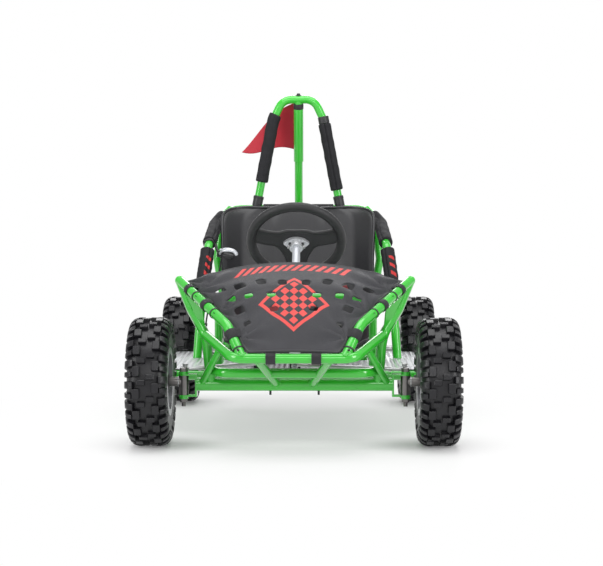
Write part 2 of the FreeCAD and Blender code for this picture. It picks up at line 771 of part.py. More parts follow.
def seat():
    """Moulded bucket seat: outer tub less inner tub."""
    outer = Part.makeLoft([seat_section(s, 0.0) for s in SEAT_STATIONS], True, True)
    first, last = SEAT_STATIONS[0], SEAT_STATIONS[-1]
    before = (first[0] + 40, first[1] + 14) + first[2:]
    after = (last[0] - 12, last[1] + 40) + last[2:]
    stations = (before,) + SEAT_STATIONS + (after,)
    inner = Part.makeLoft([seat_section(s, SEAT_WALL) for s in stations], True, True)
    return outer.cut(inner)


COVER_SECTIONS = (
    # ends of the corner tube's run, share of the run; y and z of the middle
    (CORNER_FOOT, CORNER_KNEE, 0.66, -148.0, 340.0),
    (CORNER_KNEE, APEX, 0.42, -72.0, 418.0),
    (CORNER_KNEE, APEX, 0.95, 50.0, 467.0),
)


def strap_radius():
    """Outer radius of a strap round a frame tube."""
    return TUBE / 2 + SEAT_GAP + STRAP_THICK


def cover_edge(start, end, share):
    """Point of the cover's right edge, beside the strap on the corner tube."""
    along = (end - start).normalize()
    inward = Vector(-1, 0, 0)
    inward = (inward - along * inward.dot(along)).normalize()
    return between(start, end, share) + inward * (strap_radius() + SEAT_GAP)


def cover_section(right, middle):
    """Arched section of the cover, as thick as the cloth, in the plane of its own arch."""
    left = Vector(-right.x, right.y, right.z)
    lift = (middle - between(left, right, 0.5)).normalize() * COVER_THICK
    return Part.Wire(
        [
            Part.Arc(left, middle, right).toShape(),
            Part.LineSegment(right, right + lift).toShape(),
            Part.Arc(right + lift, middle + lift, left + lift).toShape(),
            Part.LineSegment(left + lift, left).toShape(),
        ]
    )


def nose_cover():
    """Stretched cover over the nose, between the corner tubes and the nose tube."""
    low = NOSE_Z + strap_radius() + SEAT_GAP
    sections = [cover_section(at(CORNER_FOOT_X - 16, -NOSE_REACH, low), at(0, -NOSE_REACH - 2, low + 4))]
    for low_end, high_end, share, y, z in COVER_SECTIONS:
        sections.append(cover_section(cover_edge(at(*low_end), at(*high_end), share), at(0, y, z)))
    return Part.makeLoft(sections, True, False)


CORNER_STRAPS = (
    # ends of the corner tube's run, share of the run, width
    (CORNER_FOOT, CORNER_KNEE, 0.58, 30.0),
    (CORNER_KNEE, APEX, 0.47, 14.0),
    (CORNER_KNEE, APEX, 0.78, 12.0),
)
NOSE_STRAP_X = 56.0
NOSE_STRAP_WIDTH = 24.0


def cover_straps():
    """Bands that tie the cover to the nose tube and to the corner tubes."""
    bands = []
    inner = TUBE + 2 * SEAT_GAP
    outer = inner + 2 * STRAP_THICK
    for x in (-NOSE_STRAP_X, NOSE_STRAP_X):
        half = NOSE_STRAP_WIDTH / 2
        bands.append(
            ring(at(x - half, -NOSE_REACH, NOSE_Z), at(x + half, -NOSE_REACH, NOSE_Z), outer, inner)
        )
    for low_end, high_end, share, width in CORNER_STRAPS:
        foot, head = at(*low_end), at(*high_end)
        half = width / 2 / (head - foot).Length
        band = ring(between(foot, head, share - half), between(foot, head, share + half), outer, inner)
        bands += [band, mirror(band)]
    return Part.makeCompound(bands)


def lug(angle, side):
    """Tread block that reaches from near the middle of the tread over the shoulder."""
    outer = TYRE_DIAMETER / 2
    base = outer - LUG_HEIGHT - 3
    half = TYRE_WIDTH / 2
    width = 24.0
    profile = [
        (3.0, base),
        (3.0, outer),
        (half - 12, outer - 1),
        (half, outer - 10),
        (half, outer - 30),
        (half - 9, outer - 34),
    ]
    points = [Vector(side * x, -width / 2, r) for x, r in profile]
    block = Part.Face(Part.makePolygon(points + points[:1])).extrude(Vector(0, width, 0))
    block.rotate(Vector(0, 0, 0), Vector(1, 0, 0), angle)
    return block


def tyre(x, y):
    """Knobbly tyre: a turned carcass with two staggered rows of lugs."""
    base = TYRE_DIAMETER / 2 - LUG_HEIGHT
    half = TYRE_WIDTH / 2 - 6
    seat = RIM_SEAT_DIAMETER / 2
    bead = RIM_WIDTH / 2 - RIM_WALL
    carcass = revolved(
        [
            (-bead, seat),
            (-bead, RIM_FLANGE_DIAMETER / 2 + 2),
            (-half, 112.0),
            (-half, base - 16),
            (-half + 14, base),
            (half - 14, base),
            (half, base - 16),
            (half, 112.0),
            (bead, RIM_FLANGE_DIAMETER / 2 + 2),
            (bead, seat),
        ],
        Vector(0, 0, 0),
    )
    pitch = 360.0 / LUG_COUNT
    lugs = [lug(pitch * i, 1) for i in range(LUG_COUNT)]
    lugs += [lug(pitch * (i + 0.5), -1) for i in range(LUG_COUNT)]
    body = fuse(carcass, *lugs)
    body.translate(at(x, y, AXLE_Z))
    return body


def rim(x, y, bore):
    """Steel rim with rolled flanges, a dished web with vent holes, and its hub."""
    seat = RIM_SEAT_DIAMETER / 2
    flange = RIM_FLANGE_DIAMETER / 2
    half = RIM_WIDTH / 2
    inside = seat - RIM_WALL
    barrel = revolved(
        [
            (-half, inside),
            (-half, flange),
            (-half + RIM_WALL, flange),
            (-half + RIM_WALL, seat),
            (half - RIM_WALL, seat),
            (half - RIM_WALL, flange),
            (half, flange),
            (half, inside),
        ],
        Vector(0, 0, 0),
    )
    hub_half = HUB_LENGTH / 2
    web = Part.makeCylinder(inside + 1, 5, Vector(-2.5, 0, 0), Vector(1, 0, 0))
    for i in range(4):
        angle = math.radians(45 + 90 * i)
        centre = Vector(-10, 47 * math.cos(angle), 47 * math.sin(angle))
        web = web.cut(Part.makeCylinder(13, 20, centre, Vector(1, 0, 0)))
    hub = Part.makeCylinder(HUB_DIAMETER / 2, HUB_LENGTH, Vector(-hub_half, 0, 0), Vector(1, 0, 0))
    body = fuse(barrel, web, hub).cut(
        Part.makeCylinder(bore / 2, HUB_LENGTH + 2, Vector(-hub_half - 1, 0, 0), Vector(1, 0, 0))
    )
    body.translate(at(x, y, AXLE_Z))
    return body


def rear_axle():
    """Live axle with its end nuts."""
    half = AXLE_LENGTH / 2
    axle = rod(at(-half, WHEELBASE, AXLE_Z), at(half, WHEELBASE, AXLE_Z), AXLE_DIAMETER)
    hub_end = REAR_WHEEL_X + HUB_LENGTH / 2
    nut_end = hub_end + AXLE_NUT
    nuts = [
        rod(at(s * hub_end, WHEELBASE, AXLE_Z), at(s * nut_end, WHEELBASE, AXLE_Z), AXLE_DIAMETER + 9)
        for s in (-1, 1)
    ]
    return fuse(axle, *nuts)


def rear_sprocket():
    """Toothed chain wheel on the axle, with lightening holes and its clamp hub."""
    centre = at(SPROCKET_X, WHEELBASE, AXLE_Z)
    teeth = 30
    points = []
    for i in range(teeth):
        for share, radius in ((0.0, SPROCKET_RADIUS + TOOTH_TIP), (0.5, SPROCKET_RADIUS - 4)):
            angle = 2 * math.pi * (i + share) / teeth
            points.append(centre + Vector(-2, radius * math.cos(angle), radius * math.sin(angle)))
    plate = Part.Face(Part.makePolygon(points + points[:1])).extrude(Vector(4, 0, 0))
    for i in range(5):
        angle = 2 * math.pi * i / 5
        hole = centre + Vector(-5, 38 * math.cos(angle), 38 * math.sin(angle))
        plate = plate.cut(Part.makeCylinder(10, 10, hole, Vector(1, 0, 0)))
    hub = Part.makeCylinder(21, 24, centre - Vector(26, 0, 0), Vector(1, 0, 0))
    bore = Part.makeCylinder(AXLE_DIAMETER / 2, 60, centre - Vector(30, 0, 0), Vector(1, 0, 0))
    return fuse(plate, hub).cut(bore)


def brake_disc():
    """Vented disc on the axle, with its hub."""
    centre = at(DISC_X, WHEELBASE, AXLE_Z)
    axis = Vector(1, 0, 0)
    plate = Part.makeCylinder(DISC_DIAMETER / 2, DISC_THICK, centre - axis * (DISC_THICK / 2), axis)
    for i in range(6):
        angle = 2 * math.pi * i / 6
        hole = centre + Vector(-5, 34 * math.cos(angle), 34 * math.sin(angle))
        plate = plate.cut(Part.makeCylinder(8, 10, hole, axis))
    hub = Part.makeCylinder(21, 22, centre, axis)
    bore = Part.makeCylinder(AXLE_DIAMETER / 2, 60, centre - axis * 20, axis)
    return fuse(plate, hub).cut(bore)


def axle_carriers():
    """Plates welded under the rails, with the bearing housings of the rear axle."""
    outline = [
        (WHEELBASE - 34, REAR_Z),
        (WHEELBASE - 30, AXLE_Z - 8),
        (WHEELBASE - 14, AXLE_Z - 36),
        (WHEELBASE + 14, AXLE_Z - 36),
        (WHEELBASE + 30, AXLE_Z - 8),
        (WHEELBASE + 34, REAR_Z),
    ]
    carriers = []
    for name, side in SIDES:
        x = side * RAIL_X
        plate = plate_yz(outline, x - 4, x + 4)
        housing = Part.makeCylinder(27, 24, at(x - 12, WHEELBASE, AXLE_Z), Vector(1, 0, 0))
        bore = Part.makeCylinder(
            AXLE_DIAMETER / 2 + RUNNING, 40, at(x - 20, WHEELBASE, AXLE_Z), Vector(1, 0, 0)
        )
        carriers.append(fuse(plate, housing).cut(bore))
    return Part.makeCompound(carriers)


def brake_calliper():
    """Calliper over the disc's rear edge, on a bracket bolted to the left carrier."""
    y = WHEELBASE + DISC_DIAMETER / 2 - CALLIPER_BITE
    body = box(at(DISC_X - 17, y - CALLIPER_FRONT, AXLE_Z - 26), at(DISC_X + 17, y + 22, AXLE_Z + 26))
    body = body.makeFillet(6.0, [e for e in body.Edges if abs(e.Vertexes[0].X - e.Vertexes[-1].X) > 1])
    slot = rod(
        at(DISC_X - DISC_THICK / 2 - 1.5, WHEELBASE, AXLE_Z),
        at(DISC_X + DISC_THICK / 2 + 1.5, WHEELBASE, AXLE_Z),
        DISC_DIAMETER + 10,
    )
    carrier_face = -RAIL_X + 4 + SEAT_GAP
    bracket = box(at(carrier_face, WHEELBASE + 20, AXLE_Z - 26), at(DISC_X - 17, y + 14, AXLE_Z + 14))
    clear = rod(at(-RAIL_X, WHEELBASE, AXLE_Z), at(DISC_X, WHEELBASE, AXLE_Z), 58)
    return fuse(body, bracket).cut(slot).cut(clear)


def motor():
    """Drive motor: finned barrel, end caps, output shaft and pinion, on its mounting plate."""
    face = SPROCKET_X - 16
    axis = Vector(1, 0, 0)
    start = at(face - MOTOR_LENGTH, MOTOR_Y, MOTOR_Z)
    radius = MOTOR_DIAMETER / 2
    barrel = Part.makeCylinder(radius - 3, MOTOR_LENGTH, start, axis)
    caps = [
        Part.makeCylinder(radius, 18, start + axis * shift, axis) for shift in (0.0, MOTOR_LENGTH - 18)
    ]
    shaft = Part.makeCylinder(6, 30, start + axis * MOTOR_LENGTH, axis)
    pinion = Part.makeCylinder(PINION_RADIUS + TOOTH_TIP, 4, at(SPROCKET_X - 2, MOTOR_Y, MOTOR_Z), axis)
    cross_y = MOTOR_CROSS_Y
    mount = plate_yz(
        [
            (cross_y - 14, FRAME_Z - 14),
            (cross_y - 14, FRAME_Z + 20),
            (MOTOR_Y - 30, MOTOR_Z + 40),
            (MOTOR_Y + 34, MOTOR_Z + 40),
            (MOTOR_Y + 34, MOTOR_Z - 36),
        ],
        face,
        face + 5,
    )
    return fuse(barrel, *caps, shaft, pinion, mount)


def chain_loop(reach):
    """Face bounded by the belt line round both chain wheels, moved out by the reach."""
    big = at(SPROCKET_X, WHEELBASE, AXLE_Z)
    small = at(SPROCKET_X, MOTOR_Y, MOTOR_Z)
    between_centres = small - big
    distance = between_centres.Length
    along = between_centres.normalize()
    normal = Vector(0, -along.z, along.y)
    big_radius = SPROCKET_RADIUS + reach
    small_radius = PINION_RADIUS + reach
    lean = math.acos((big_radius - small_radius) / distance)

    def rim_point(centre, radius, angle):
        return centre + along * (radius * math.cos(angle)) + normal * (radius * math.sin(angle))

    edges = [
        Part.Arc(
            rim_point(big, big_radius, lean),
            rim_point(big, big_radius, math.pi),
            rim_point(big, big_radius, -lean),
        ).toShape(),
        Part.LineSegment(
            rim_point(big, big_radius, -lean), rim_point(small, small_radius, -lean)
        ).toShape(),
        Part.Arc(
            rim_point(small, small_radius, -lean),
            rim_point(small, small_radius, 0.0),
            rim_point(small, small_radius, lean),
        ).toShape(),
        Part.LineSegment(
            rim_point(small, small_radius, lean), rim_point(big, big_radius, lean)
        ).toShape(),
    ]
    return Part.Face(Part.Wire(edges))


def drive_chain():
    """Closed roller chain, drawn as its outer band with a groove for the teeth."""
    half = CHAIN_HEIGHT / 2
    loop = chain_loop(half).cut(chain_loop(-half)).extrude(Vector(CHAIN_WIDTH, 0, 0))
    loop.translate(Vector(-CHAIN_WIDTH / 2, 0, 0))
    groove = chain_loop(TOOTH_TIP + 0.6).extrude(Vector(CHAIN_GROOVE, 0, 0))
    groove.translate(Vector(-CHAIN_GROOVE / 2, 0, 0))
    return loop.cut(groove)


def battery_box():
    """Closed case over the rear axle, with a lip round its lid, on its tray."""
    low = REAR_Z + RAIL / 2 + SEAT_GAP
    front = WHEELBASE - BATTERY_AHEAD
    rear = front + BATTERY_LENGTH
    floor = low + PLATE
    shut = floor + BATTERY_HEIGHT
    half = BATTERY_HALF
    lip = BATTERY_LIP
    tray = box(at(-RAIL_X - lip, front, low), at(RAIL_X + lip, front + TRAY_LENGTH, floor))
    case = box(at(-half, front, floor), at(half, rear, shut))
    lid = box(at(-half - lip, front - lip, shut), at(half + lip, rear + lip, shut + BATTERY_LID))
    return fuse(tray, case, lid)


def pedals():
    """Throttle and brake pedals, each on an arm from a pivot block on the floor plate."""
    low = FRAME_Z + RAIL / 2 + SEAT_GAP + PLATE
    found = []
    for name, side in SIDES:
        x = side * PEDAL_X
        half = PEDAL_BLOCK / 2
        block = box(at(x - half, PEDAL_Y - half, low), at(x + half, PEDAL_Y + half, low + PEDAL_BLOCK_HEIGHT))
        pivot = at(x, PEDAL_Y, low + PEDAL_BLOCK_HEIGHT - PEDAL_ARM)
        tip = at(x, PEDAL_Y - PEDAL_LEAN, low + PEDAL_RISE)
        wide, thick, tall = PEDAL_PAD_WIDTH / 2, PEDAL_PAD_THICK / 2, PEDAL_PAD_LENGTH / 2
        pad = box(Vector(-wide, -thick, -tall), Vector(wide, thick, tall))
        pad.rotate(Vector(0, 0, 0), Vector(1, 0, 0), PEDAL_TILT)
        pad.translate(tip + Vector(0, -2, 4))
        found.append(fuse(block, rod(pivot, tip, PEDAL_ARM), pad))
    return Part.makeCompound(found)


LEVER_SHARE = 0.885


def hand_brake():
    """Hand lever clamped to the left side rail between its pads, pointing in towards the driver."""
    start = mirror_point(at(*RAIL_TOP))
    end = mirror_point(at(*RAIL_ELBOW))
    clamp = ring(between(start, end, 0.86), between(start, end, 0.91), TUBE + 9, TUBE + 2 * SEAT_GAP)
    centre = between(start, end, LEVER_SHARE)
    arm = rod(centre + Vector(TUBE / 2 + 6, 0, 0), centre + Vector(30, -16, -30), 8)
    body = rod(centre + Vector(26, -14, -28), centre + Vector(74, -22, -40), 20)
    lever = tube(
        [
            centre + Vector(34, -20, -30),
            centre + Vector(48, -44, -16),
            centre + Vector(76, -46, -18),
            centre + Vector(86, -44, -34),
        ],
        9,
        8.0,
    )
    return fuse(clamp, arm).fuse(body).fuse(lever)


def mirror_point(point):
    return Vector(-point.x, point.y, point.z)


def lap_belt():
    """Strap that lies across the seat, with its buckle."""
    left, middle, right = [at(x, HOOP_Y - ahead, z) for x, ahead, z in (BELT_LEFT, BELT_MIDDLE, BELT_RIGHT)]
    arc = Part.Arc(left, middle, right).toShape()
    strap = Part.Wire([arc])
    direction = arc.tangentAt(arc.FirstParameter)
    up = Vector(0, 0.25, 1).normalize()
    out = direction.cross(up).normalize()
    up = out.cross(direction).normalize()
    half, thick = up * (BELT_WIDTH / 2), out * (BELT_THICK / 2)
    corners = [left + half + thick, left + half - thick, left - half - thick, left - half + thick]
    whole = strap.makePipe(Part.Face(Part.makePolygon(corners + corners[:1])))
    pieces = whole.cut(seat()).Solids
    return max(pieces, key=lambda piece: piece.Volume)


# Stretches of the brake cable that are clipped, by their ends: x on the left side, y, z
CABLE_RAIL_TOP = (265.0, HOOP_Y - 302.0, 292.0)
CABLE_RAIL_LOW = (269.5, HOOP_Y - 315.0, 245.0)
CABLE_FLOOR_FRONT = (210.0, HOOP_Y - 221.0, 180.0)
CABLE_FLOOR_MIDDLE = (197.0, HOOP_Y - 163.0, 180.0)
CABLE_FLOOR_REAR = (194.5, HOOP_Y - 93.0, 181.5)
CABLE_ROUTE = (
    # x on the left side, y, z: from the lever's body down the side rail and back to the calliper
    (225.5, HOOP_Y - 238.5, 460.6),
    (228.0, HOOP_Y - 241.0, 436.0),
    (238.0, HOOP_Y - 255.0, 394.0),
    (254.0, HOOP_Y - 281.0, 345.0),
    CABLE_RAIL_TOP,
    CABLE_RAIL_LOW,
    (267.0, HOOP_Y - 316.0, 208.0),
    (252.0, HOOP_Y - 300.0, 184.5),
    (232.0, HOOP_Y - 268.0, 180.5),
    CABLE_FLOOR_FRONT,
    CABLE_FLOOR_MIDDLE,
    CABLE_FLOOR_REAR,
    (195.0, HOOP_Y - 23.0, 184.5),
    (194.5, HOOP_Y + 27.0, 187.0),
    (194.7, HOOP_Y + 67.0, 186.2),
    (194.7, HOOP_Y + 92.0, 184.2),
)
CLIP_PLACES = (
    # ends of the stretch, share of the stretch, direction from the cable to its tube, length of the tab
    (CABLE_RAIL_TOP, CABLE_RAIL_LOW, 0.50, (-0.94, -0.34, 0.0), 2.9),
    (CABLE_FLOOR_FRONT, CABLE_FLOOR_MIDDLE, 0.50, (-0.46, 0.0, -0.89), 5.7),
    (CABLE_FLOOR_MIDDLE, CABLE_FLOOR_REAR, 0.72, (-0.91, 0.215, -0.352), 2.1),
)


def cable_points():
    """Route of the brake cable, ending on the calliper's front face."""
    points = [at(-x, y, z) for x, y, z in CABLE_ROUTE]
    face = WHEELBASE + DISC_DIAMETER / 2 - CALLIPER_BITE - CALLIPER_FRONT - SEAT_GAP
    return points + [at(points[-1].x, face, points[-1].z)]


def cable_path(points):
    """Straight runs joined by the largest tangent arcs that fit, 0.45 of the shorter run each."""
    edges = []
    start = points[0]
    for before, corner, after in zip(points, points[1:], points[2:]):
        into = corner - before
        out = after - corner
        reach = 0.45 * min(into.Length, out.Length)
        into.normalize()
        out.normalize()
        half = into.getAngle(out) / 2
        radius = reach / math.tan(half)
        enter = corner - into * reach
        leave = corner + out * reach
        middle = corner + (out - into).normalize() * (radius / math.cos(half) - radius)
        edges.append(Part.LineSegment(start, enter).toShape())
        edges.append(Part.Arc(enter, middle, leave).toShape())
        start = leave
    edges.append(Part.LineSegment(start, points[-1]).toShape())
    return Part.Wire(edges)


def brake_cable():
    """Sheathed cable from the hand lever to the calliper."""
    points = cable_points()
    return cable_path(points).makePipe(disc(points[0], points[1] - points[0], CABLE_DIAMETER))


def cable_clips():
    """Clips that hold the cable to the side rail and to the frame rail."""
    clips = []
    for front, back, share, step, tab_length in CLIP_PLACES:
        first, last = [at(-x, y, z) for x, y, z in (front, back)]
        along = (last - first).normalize()
        centre = between(first, last, share)
        out = Vector(*step)
        out = (out - along * out.dot(along)).normalize()
        low, high = centre - along * (CLIP_WIDTH / 2), centre + along * (CLIP_WIDTH / 2)
        sleeve = rod(low, high, CABLE_DIAMETER + 2 * CLIP_WALL)
        tab = rod(centre, centre + out * (CABLE_DIAMETER / 2 + tab_length), CLIP_TAB)
        clips.append(fuse(sleeve, tab).cut(rod(low, high, CABLE_DIAMETER + 2 * SEAT_GAP)))
    return Part.makeCompound(clips)


def build():
    """All pieces by node name; each is coped to what it is welded to."""
    floor = floor_frame()
    nose = nose_tube()
    corner = corner_tube().cut(nose).cut(floor)
    corners = both_sides(corner)
    struts = nose_struts().cut(nose).cut(floor).cut(corners)
    hoop = dash_hoop().cut(floor)
    steps = both_sides(step_frame().cut(floor))
    shoulder = shoulder_hoop().cut(floor)
    roll = roll_hoop().cut(shoulder)
    brace = rear_brace().cut(roll).cut(floor)
    rail = side_rail().cut(shoulder).cut(step_frame())
    rails = both_sides(rail)
    leg_room = Part.makeCompound(
        [rod(at(s * DASH_X, DASH_Y, FRAME_Z), at(s * DASH_X, DASH_Y, DASH_Z), DASH_TUBE + 2) for s in (-1, 1)]
    )
    post_y = FRONT_CROSS_Y
    post_room = box(
        at(-POST_HALF - 1, post_y - POST_THICK / 2 - 1, FRAME_Z),
        at(POST_HALF + 1, post_y + POST_THICK / 2 + 1, FRAME_Z + RAIL),
    )
    rail_room = rod(at(*RAIL_KNEE), at(*RAIL_FOOT), TUBE + 2)
    pieces = {
        "floor_frame": floor,
        "nose_tube": nose,
        "corner_tubes": corners,
        "nose_struts": struts,
        "dash_hoop": hoop,
        "column_supports": column_supports().cut(hoop).cut(floor),
        "step_frames": steps,
        "step_plates": both_sides(step_plate().cut(rail_room)),
        "floor_plate": floor_plate().cut(leg_room).cut(post_room),
        "shoulder_hoop": shoulder,
        "side_rails": rails,
        "roll_hoop": roll,
        "hoop_sockets": hoop_sockets().cut(shoulder),
        "rear_brace": brace,
        "hoop_plate": hoop_plate(),
        "seat": seat(),
        "lap_belt": lap_belt(),
        "nose_cover": nose_cover(),
        "cover_straps": cover_straps(),
        "hoop_pads": hoop_pads(),
        "rail_pads": Part.makeCompound(rail_pads() + [mirror(p) for p in rail_pads()]),
        "flag_pole": flag_pole(),
        "flag": flag(),
        "battery_box": battery_box().cut(brace),
        "motor": motor().cut(floor),
        "drive_chain": drive_chain(),
        "axle_carriers": axle_carriers().cut(floor),
        "brake_calliper": brake_calliper(),
        "brake_cable": brake_cable(),
        "cable_clips": cable_clips(),
        "pedals": pedals(),
        "hand_brake": hand_brake(),
        "steering_column": steering_column(),
        "wheel_adapter": wheel_adapter(),
        "steering_wheel": steering_wheel(),
        "rear_axle": rear_axle(),
        "rear_sprocket": rear_sprocket(),
        "brake_disc": brake_disc(),
    }
    for name, side in SIDES:
        pieces["tie_rod_" + name] = tie_rod(side)
        pieces["knuckle_" + name] = knuckle(side)
        pieces["front_rim_" + name] = rim(side * WHEEL_X, 0, STUB_DIAMETER + 2 * RUNNING)
        pieces["front_tyre_" + name] = tyre(side * WHEEL_X, 0)
        pieces["rear_rim_" + name] = rim(side * REAR_WHEEL_X, WHEELBASE, AXLE_DIAMETER)
        pieces["rear_tyre_" + name] = tyre(side * REAR_WHEEL_X, WHEELBASE)
    return pieces


os.makedirs("parts", exist_ok=True)
for node, shape in build().items():
    if not shape.isValid():
        print(node, "is not valid")
    shape.translate(Vector(0, FRONT_Y, 0))
    shape.exportStep(os.path.join("parts", node + ".step"))
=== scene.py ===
import math

import bmesh
import bpy
import numpy as np
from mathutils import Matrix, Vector
from mathutils.geometry import delaunay_2d_cdt


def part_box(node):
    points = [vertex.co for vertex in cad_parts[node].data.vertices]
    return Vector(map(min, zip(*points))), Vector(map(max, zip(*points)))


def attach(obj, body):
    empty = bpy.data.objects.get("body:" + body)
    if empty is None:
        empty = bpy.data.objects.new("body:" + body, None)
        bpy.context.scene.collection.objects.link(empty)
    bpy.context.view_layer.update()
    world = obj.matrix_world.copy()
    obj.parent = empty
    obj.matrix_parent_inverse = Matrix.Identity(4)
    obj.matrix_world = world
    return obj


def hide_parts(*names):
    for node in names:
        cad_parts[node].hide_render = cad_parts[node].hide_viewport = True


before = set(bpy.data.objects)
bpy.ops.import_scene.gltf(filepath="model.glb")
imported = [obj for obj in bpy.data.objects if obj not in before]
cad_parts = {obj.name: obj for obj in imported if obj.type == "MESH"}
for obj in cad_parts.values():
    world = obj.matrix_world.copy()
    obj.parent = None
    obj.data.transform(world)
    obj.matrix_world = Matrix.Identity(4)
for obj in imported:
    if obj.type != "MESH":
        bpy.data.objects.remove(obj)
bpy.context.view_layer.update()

# Camera and lights: the camera stands four metres ahead of the front axle, a little to its right, at
# hip height. One wide soft box hangs overhead, and four more stand at the sides, ahead and behind.
front_hub_low, front_hub_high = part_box("front_rim_left")
AXLE_Y = (front_hub_low[1] + front_hub_high[1]) / 2
CAMERA_AHEAD = 4.2
CAMERA_RIGHT = 0.0575
CAMERA_HEIGHT = 0.618
FOCAL_PIXELS = 1642.0
PHOTO_SIZE = (603.0, 566.0)
VANISHING_PIXEL = (317.0, 205.0)
SENSOR = 36.0
KART_MIDDLE = (0.0, 0.0, 0.35)
# Columns: name, place, width and depth, power in watts.
SOFT_BOXES = (
    ("overhead_box", (0.0, -0.3, 2.8), (2.6, 2.2), 48.0),
    ("left_box", (-2.4, -2.0, 1.3), (0.9, 2.0), 34.0),
    ("right_box", (2.4, -2.0, 1.3), (0.9, 2.0), 34.0),
    ("front_box", (0.2, -4.6, 2.2), (2.0, 0.8), 30.0),
    ("back_box", (0.0, 3.4, 2.2), (2.6, 1.4), 40.0),
)


def add_camera():
    """Level view turned until the kart's straight-ahead point falls on its pixel of the photograph."""
    data = bpy.data.cameras.new("camera")
    data.sensor_width = SENSOR
    data.lens = FOCAL_PIXELS / PHOTO_SIZE[0] * SENSOR
    data.clip_end = 100.0
    camera = bpy.data.objects.new("camera", data)
    bpy.context.collection.objects.link(camera)
    pitch = math.atan((PHOTO_SIZE[1] / 2 - VANISHING_PIXEL[1]) / FOCAL_PIXELS)
    yaw = math.atan((VANISHING_PIXEL[0] - PHOTO_SIZE[0] / 2) / FOCAL_PIXELS)
    camera.location = (CAMERA_RIGHT, AXLE_Y - CAMERA_AHEAD, CAMERA_HEIGHT)
    camera.rotation_euler = (math.pi / 2 - pitch, 0.0, yaw)
    bpy.context.scene.camera = camera


add_camera()
for name, place, size, power in SOFT_BOXES:
    data = bpy.data.lights.new(name, "AREA")
    data.shape = "RECTANGLE"
    data.size, data.size_y = size
    data.energy = power
    light = bpy.data.objects.new(name, data)
    bpy.context.collection.objects.link(light)
    light.location = place
    light.rotation_euler = (Vector(KART_MIDDLE) - Vector(place)).to_track_quat("-Z", "Y").to_euler()
bpy.context.scene.view_settings.view_transform = "Standard"


# Floor and air: a pale grey floor that fades to clear white away from the kart, under white air. Near the
# kart the floor glows a little, painted light that lifts its shade; round the tyres the glow fades out,
# painting their contact shadows darker.
FLOOR_HALF = 14.0
FLOOR_TONE = (0.74, 0.78)
FLOOR_OVAL = (0.62, 0.85)
FLOOR_FADE = (0.55, 1.6)
# Painted light: the share of glow that lifts the floor's shade near the kart, faded out round the tyres'
# contact patches as painted contact shadows.
FLOOR_PAINTED_FILL = 0.48
CONTACT_AT = (0.362, 0.475)
CONTACT_SHADOW_REACH = (0.03, 0.22)
DOME_GREY = 0.50
DOME_TURN = (0.55, 0.92)
WHITE = (1.0, 1.0, 1.0, 1.0)


def new_material(name):
    """Material, its node tree and its Principled shader."""
    material = bpy.data.materials.new(name)
    material.use_nodes = True
    return material, material.node_tree, material.node_tree.nodes["Principled BSDF"]


def node(tree, kind, inputs=(), **settings):
    """Adds a node, applies its settings, and links or sets its inputs by name or number."""
    made = tree.nodes.new(kind)
    for key, value in settings.items():
        setattr(made, key, value)
    for key, value in dict(inputs).items():
        if isinstance(value, bpy.types.NodeSocket):
            tree.links.new(value, made.inputs[key])
        else:
            made.inputs[key].default_value = value
    return made


def maths(tree, operation, first, second=0.0):
    """Result of one Math node."""
    return node(tree, "ShaderNodeMath", {0: first, 1: second}, operation=operation).outputs[0]


def hypotenuse(tree, first, second):
    """Root of the sum of two squares."""
    squares = [maths(tree, "POWER", leg, 2.0) for leg in (first, second)]
    return maths(tree, "SQRT", maths(tree, "ADD", *squares))


def noise(tree, place, scale, detail=4.0):
    """Noise value at the place."""
    inputs = {"Vector": place, "Scale": scale, "Detail": detail}
    return node(tree, "ShaderNodeTexNoise", inputs).outputs["Fac"]


def between_values(tree, share, low, high):
    """Value that runs from low to high as the share runs from 0 to 1."""
    return node(tree, "ShaderNodeMapRange", {"Value": share, "To Min": low, "To Max": high}).outputs["Result"]


def smooth_step(tree, value, start, end, low=0.0, high=1.0):
    """Value that eases from low to high while the given one runs from start to end."""
    inputs = {"Value": value, "From Min": start, "From Max": end, "To Min": low, "To Max": high}
    return node(tree, "ShaderNodeMapRange", inputs, interpolation_type="SMOOTHSTEP").outputs["Result"]


def object_place(tree):
    """Place on the piece in its own metres."""
    return node(tree, "ShaderNodeTexCoord").outputs["Object"]


def split(tree, vector):
    """The vector's parts."""
    return node(tree, "ShaderNodeSeparateXYZ", {0: vector}).outputs


def add_air():
    """White air to the eye; as a light it is white behind the kart and a soft grey dome elsewhere."""
    world = bpy.data.worlds.new("studio_air")
    bpy.context.scene.world = world
    world.use_nodes = True
    tree = world.node_tree
    heading = split(tree, node(tree, "ShaderNodeTexCoord").outputs["Generated"])[1]
    dome = smooth_step(tree, heading, *DOME_TURN, DOME_GREY, 1.0)
    seen = node(tree, "ShaderNodeLightPath").outputs["Is Camera Ray"]
    background = tree.nodes["Background"]
    background.inputs["Color"].default_value = WHITE
    tree.links.new(maths(tree, "MAXIMUM", dome, seen), background.inputs["Strength"])


